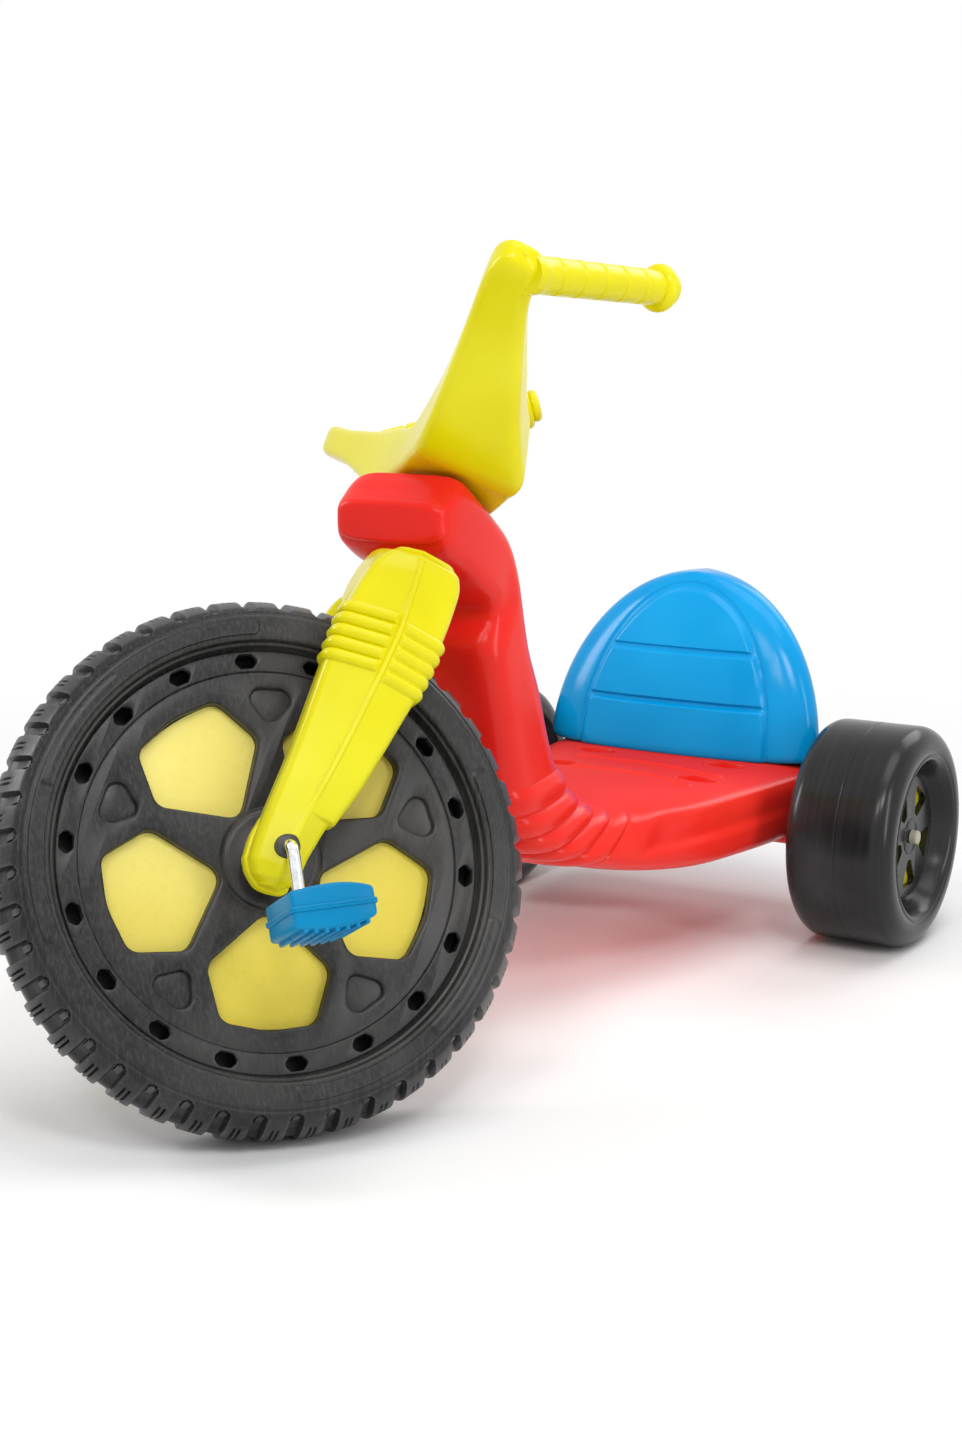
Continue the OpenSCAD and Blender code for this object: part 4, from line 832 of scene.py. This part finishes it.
def wheel_moulding():
    pieces = [lathe("wheel_core", [
        (wheel_bore, -17), (wheel_bore, 17), (144, 17), (144, 6), (157, 6), (157, -6), (144, -6), (144, -17)],
        128, at_wheel)]
    hole = round_corners(
        [(156, -4.7), (156, 4.7), (150.6, 9.4), (145.2, 4.7), (145.2, -4.7), (150.6, -9.4)], [3.4] * 6, 6, 3)
    hub = [
        (wheel_bore, 10), (39.5, 10), (39.5, 29.8), (38.6, 30.4), (38, 31.6), (37.4, 33.2), (36, 34.4),
        (34, 35.1), (32, 35.3), (18.4, 35.3), (17.4, 35.7), (17, 36.4), (17, 46.2), (16.4, 47),
        (wheel_bore, 47)]
    for side in (as_drawn, upside_down):
        place = at_wheel @ side
        openings = []
        for k in range(5):
            about = 235 + 72 * k
            openings += [turned_by(window, about), turned_by(notch(0), about + 36)]
            pieces.append(plate("notch_floor", [turned_by(notch(0.5), about + 36)], 15, 25.2, 0.8, place))
        rim = [circle(143.5, 180), circle(30, 96)]
        pieces.append(plate("wheel_face", rim + openings, 14, 29.4, 2.8, place))
        holes = [turned_by(hole, 206.4 + 20 * k) for k in range(18)]
        rim = [circle(158.3, 180), circle(142.6, 180)]
        pieces.append(plate("hole_ring", rim + holes, 26, 30.5, 0.9, place))
        pieces.append(lathe("hub", hub, 96, place))
    piece = joined("wheel_moulding", pieces)
    return finished(piece, "front_wheel", "black_plastic", black, "front_wheel")


tyre_moulding()
wheel_moulding()


# Pedals

pedal_half_long, pedal_wide = 29.5, 72


def pedal_moulding(name, side, body):
    place = at_crank @ turn(180 * side, "X") @ (flip if side else as_drawn)
    place = place @ shift(107.2, 0, -58) @ turn(1, "X")
    y = np.linspace(-pedal_half_long, pedal_half_long, 41)
    way = y / pedal_half_long
    brim = 23 - 3 * way
    half = (brim + (31 - brim) * (1 - way * way)) / 2
    profile = np.concatenate([np.stack([y, -half], axis=1), np.stack([y, half], axis=1)[::-1]])
    profile = evenly(np.concatenate([profile, profile[:1]]), 161)[:-1]
    # Corners of the section are eased by averaging neighbours
    for _ in range(6):
        profile = (np.roll(profile, 1, axis=0) + 2 * profile + np.roll(profile, -1, axis=0)) / 4
    rings = []
    for x, inset in ((0.0, 2.6), (0.25, 1.7), (0.9, 0.8), (1.8, 0.2), (3, 0), (36, 0), (69, 0), (70.2, 0.2),
                     (71.1, 0.8), (71.75, 1.7), (pedal_wide, 2.6)):
        ring = profile * (1 - inset / np.array([pedal_half_long, 13.5]))
        rings.append(np.column_stack([np.full(len(ring), x), ring]))
    pieces = [skin(name, rings, place)]
    band = round_corners([(73.5, 31), (-1.5, 31), (-1.5, -31), (73.5, -31)], [4] * 4, 8, 8)
    for way_up in (as_drawn, upside_down):
        pieces.append(plate("band", [band], -0.2, 2, 0.9, place @ way_up))
    # Two rows of lugs on the underside
    lug = round_corners([(36, 1.7), (0.8, 1.7), (0.8, -1.7), (36, -1.7)], [1.4] * 4, 5, 4)
    for k in range(1, 8):
        at = 2 * pedal_half_long * (k / 8 - 0.5)
        tall = np.interp(at, y, half) + 2.5
        for x in (0, 35):
            pieces.append(plate("lug", [lug], 4, tall, 0.9, place @ shift(x, at, 0) @ upside_down))
    return finished(joined(name, pieces), body, "blue_plastic", dark_blue, body)


pedal_moulding("left_pedal_moulding", 0, "pedal_left")
pedal_moulding("right_pedal_moulding", 1, "pedal_right")


# Rear wheels

rear_bore = 5.08
rear_inside, dish_floor, cap_seat = 164, 77, 251.3


def arc(middle, radius, start, end, count):
    t = np.radians(np.linspace(start, end, count))
    return [(middle[0] + radius * math.cos(a), middle[1] + radius * math.sin(a)) for a in t]


def rear_wheel(name, side):
    place = at_frame @ side @ shift(rear_inside, 0, rear_axle_height) @ along_x
    outline = [
        (rear_bore, 14.4), (rear_bore, 0), (18, 0), (19, 0.8), (24, 14.4), (72, 14.4), (75, 12), (79, 1)]
    outline += arc((83, 3), 3, 200, 260, 4) + [(88, 0)] + arc((88, 16), 16, -85, 0, 14)
    outline += [(104, 34), (104, 50.6), (103.6, 51.1), (103.6, 51.9), (104, 52.4), (104, 70)]
    outline += arc((86, 85), 18, 0, 88, 16)
    outline += [(84, 103), (80.5, 102.8), (79.4, 102), (78.2, 102), (77.2, 102.7), (75.6, 102.4), (73.8, 101)]
    outline += [(72, 98), (69.4, 92), (66.4, 84.5), (63.6, 79.6), (61.6, 77.6), (60.4, dish_floor)]
    outline += [(rear_bore, dish_floor)]
    piece = lathe(name, outline, 160, place)
    return finished(piece, name, "black_plastic", glossy_black, name.replace("wheel", "tyre"))


def spoked_face(name, side, body, node):
    place = at_frame @ side @ shift(rear_inside + dish_floor, 0, rear_axle_height) @ along_x
    gap = round_corners([(21, 5.2), (21, -5.2), (48.7, -19.1), (48.7, 19.1)], [4] * 4, 8, 6)[::-1]
    gaps = [turned_by(gap, 72 * k) for k in range(5)]
    boss = [(rear_bore, 4), (17, 4), (17, 9.4), (16.4, 10.2), (15.4, 10.5), (rear_bore, 10.5)]
    pieces = [plate(name, [circle(58, 128), circle(rear_bore, 32)] + gaps, 2.6, 9.6, 1.6, place)]
    pieces.append(lathe("hub_boss", boss, 64, place))
    return finished(joined(name, pieces), body, "black_plastic", glossy_black, node)


def axle_cap(name, side, node):
    place = at_frame @ side @ shift(cap_seat, 0, rear_axle_height) @ along_x
    outline = [(rear_bore, 0.8), (6.6, 0.8), (6.6, 5.4)] + arc((4.2, 5.6), 2.4, 10, 80, 6)
    outline += [(0.4, 8.1), (0.4, 4.9), (rear_bore, 4.9)]
    return finished(lathe(name, outline, 48, place), "frame", "cream_plastic", cream, node)


for hand, side in (("left", as_drawn), ("right", flip)):
    rear_wheel(f"rear_wheel_{hand}", side)
    spoked_face(f"spoked_face_{hand}", side, f"rear_wheel_{hand}", f"hub_face_{hand}")
    axle_cap(f"rear_cap_{hand}", side, f"axle_cap_{hand}")


# Stage

def stage():
    bpy.ops.object.select_all(action="DESELECT")
    bpy.ops.mesh.primitive_circle_add(vertices=128, radius=9, fill_type="NGON")
    floor = bpy.context.object
    floor.name = "floor"
    material, tree, shader, where = new_finish("pale_floor")
    shader.inputs["Base Color"].default_value = (0.93, 0.93, 0.93, 1)
    shader.inputs["Roughness"].default_value = 0.9
    shader.inputs["Specular IOR Level"].default_value = 0.1
    away = add(tree, "ShaderNodeVectorMath", operation="LENGTH")
    tree.links.new(where, away.inputs[0])
    fade = spread(tree, away.outputs["Value"], 0.5, 1.6, 0, 1)
    white = add(tree, "ShaderNodeEmission", {"Color": (1, 1, 1, 1), "Strength": 1})
    both = add(tree, "ShaderNodeMixShader")
    tree.links.new(fade, both.inputs["Fac"])
    tree.links.new(shader.outputs["BSDF"], both.inputs[1])
    tree.links.new(white.outputs["Emission"], both.inputs[2])
    tree.links.new(both.outputs["Shader"], tree.nodes["Material Output"].inputs["Surface"])
    floor.data.materials.append(material)

    world = bpy.data.worlds.new("studio")
    bpy.context.scene.world = world
    world.use_nodes = True
    tree = world.node_tree
    seen = add(tree, "ShaderNodeLightPath")
    most = seen.outputs["Is Camera Ray"]
    for ray in ("Is Glossy Ray", "Is Transmission Ray"):
        either = add(tree, "ShaderNodeMath", operation="MAXIMUM")
        tree.links.new(most, either.inputs[0])
        tree.links.new(seen.outputs[ray], either.inputs[1])
        most = either.outputs["Value"]
    back = tree.nodes["Background"]
    back.inputs["Color"].default_value = (1, 1, 1, 1)
    tree.links.new(spread(tree, most, 0, 1, 0.36, 1), back.inputs["Strength"])

    for name, spot, aim, size, power in (
        ("key", (0.4, -2.4, 2.3), (0, -0.1, 0.25), (0.7, 0.7), 16),
        ("sheen", (1.15, -1.35, 1.95), (0, -0.3, 0.25), (0.5, 0.5), 13),
        ("left", (-2.3, -0.9, 1.5), (0, 0, 0.25), (0.5, 1.2), 24),
        ("right", (2.3, -0.45, 1), (0, 0, 0.4), (0.3, 1.8), 15),
        ("back", (0.6, 2.4, 2.2), (0, 0.1, 0.3), (1.6, 1.6), 22),
        ("top", (0.5, 0.1, 2.6), (0.1, 0.1, 0.1), (1.6, 1.6), 20),
    ):
        lamp = bpy.data.objects.new(name, bpy.data.lights.new(name, "AREA"))
        lamp.data.shape = "RECTANGLE"
        lamp.data.size, lamp.data.size_y = size
        lamp.data.energy = power
        lamp.location = spot
        lamp.rotation_euler = (Vector(aim) - Vector(spot)).to_track_quat("-Z", "Y").to_euler()
        bpy.context.collection.objects.link(lamp)

    # The camera was fitted to the photo
    eye = bpy.data.objects.new("camera", bpy.data.cameras.new("camera"))
    eye.data.sensor_fit = "VERTICAL"
    eye.data.sensor_height = 36
    eye.data.lens = 58.85
    eye.location = (0.9865, -1.6821, 0.6397)
    eye.rotation_euler = (math.radians(78.77), 0, math.radians(30.40))
    bpy.context.collection.objects.link(eye)
    bpy.context.scene.camera = eye
    bpy.context.scene.view_settings.view_transform = "Standard"


stage()
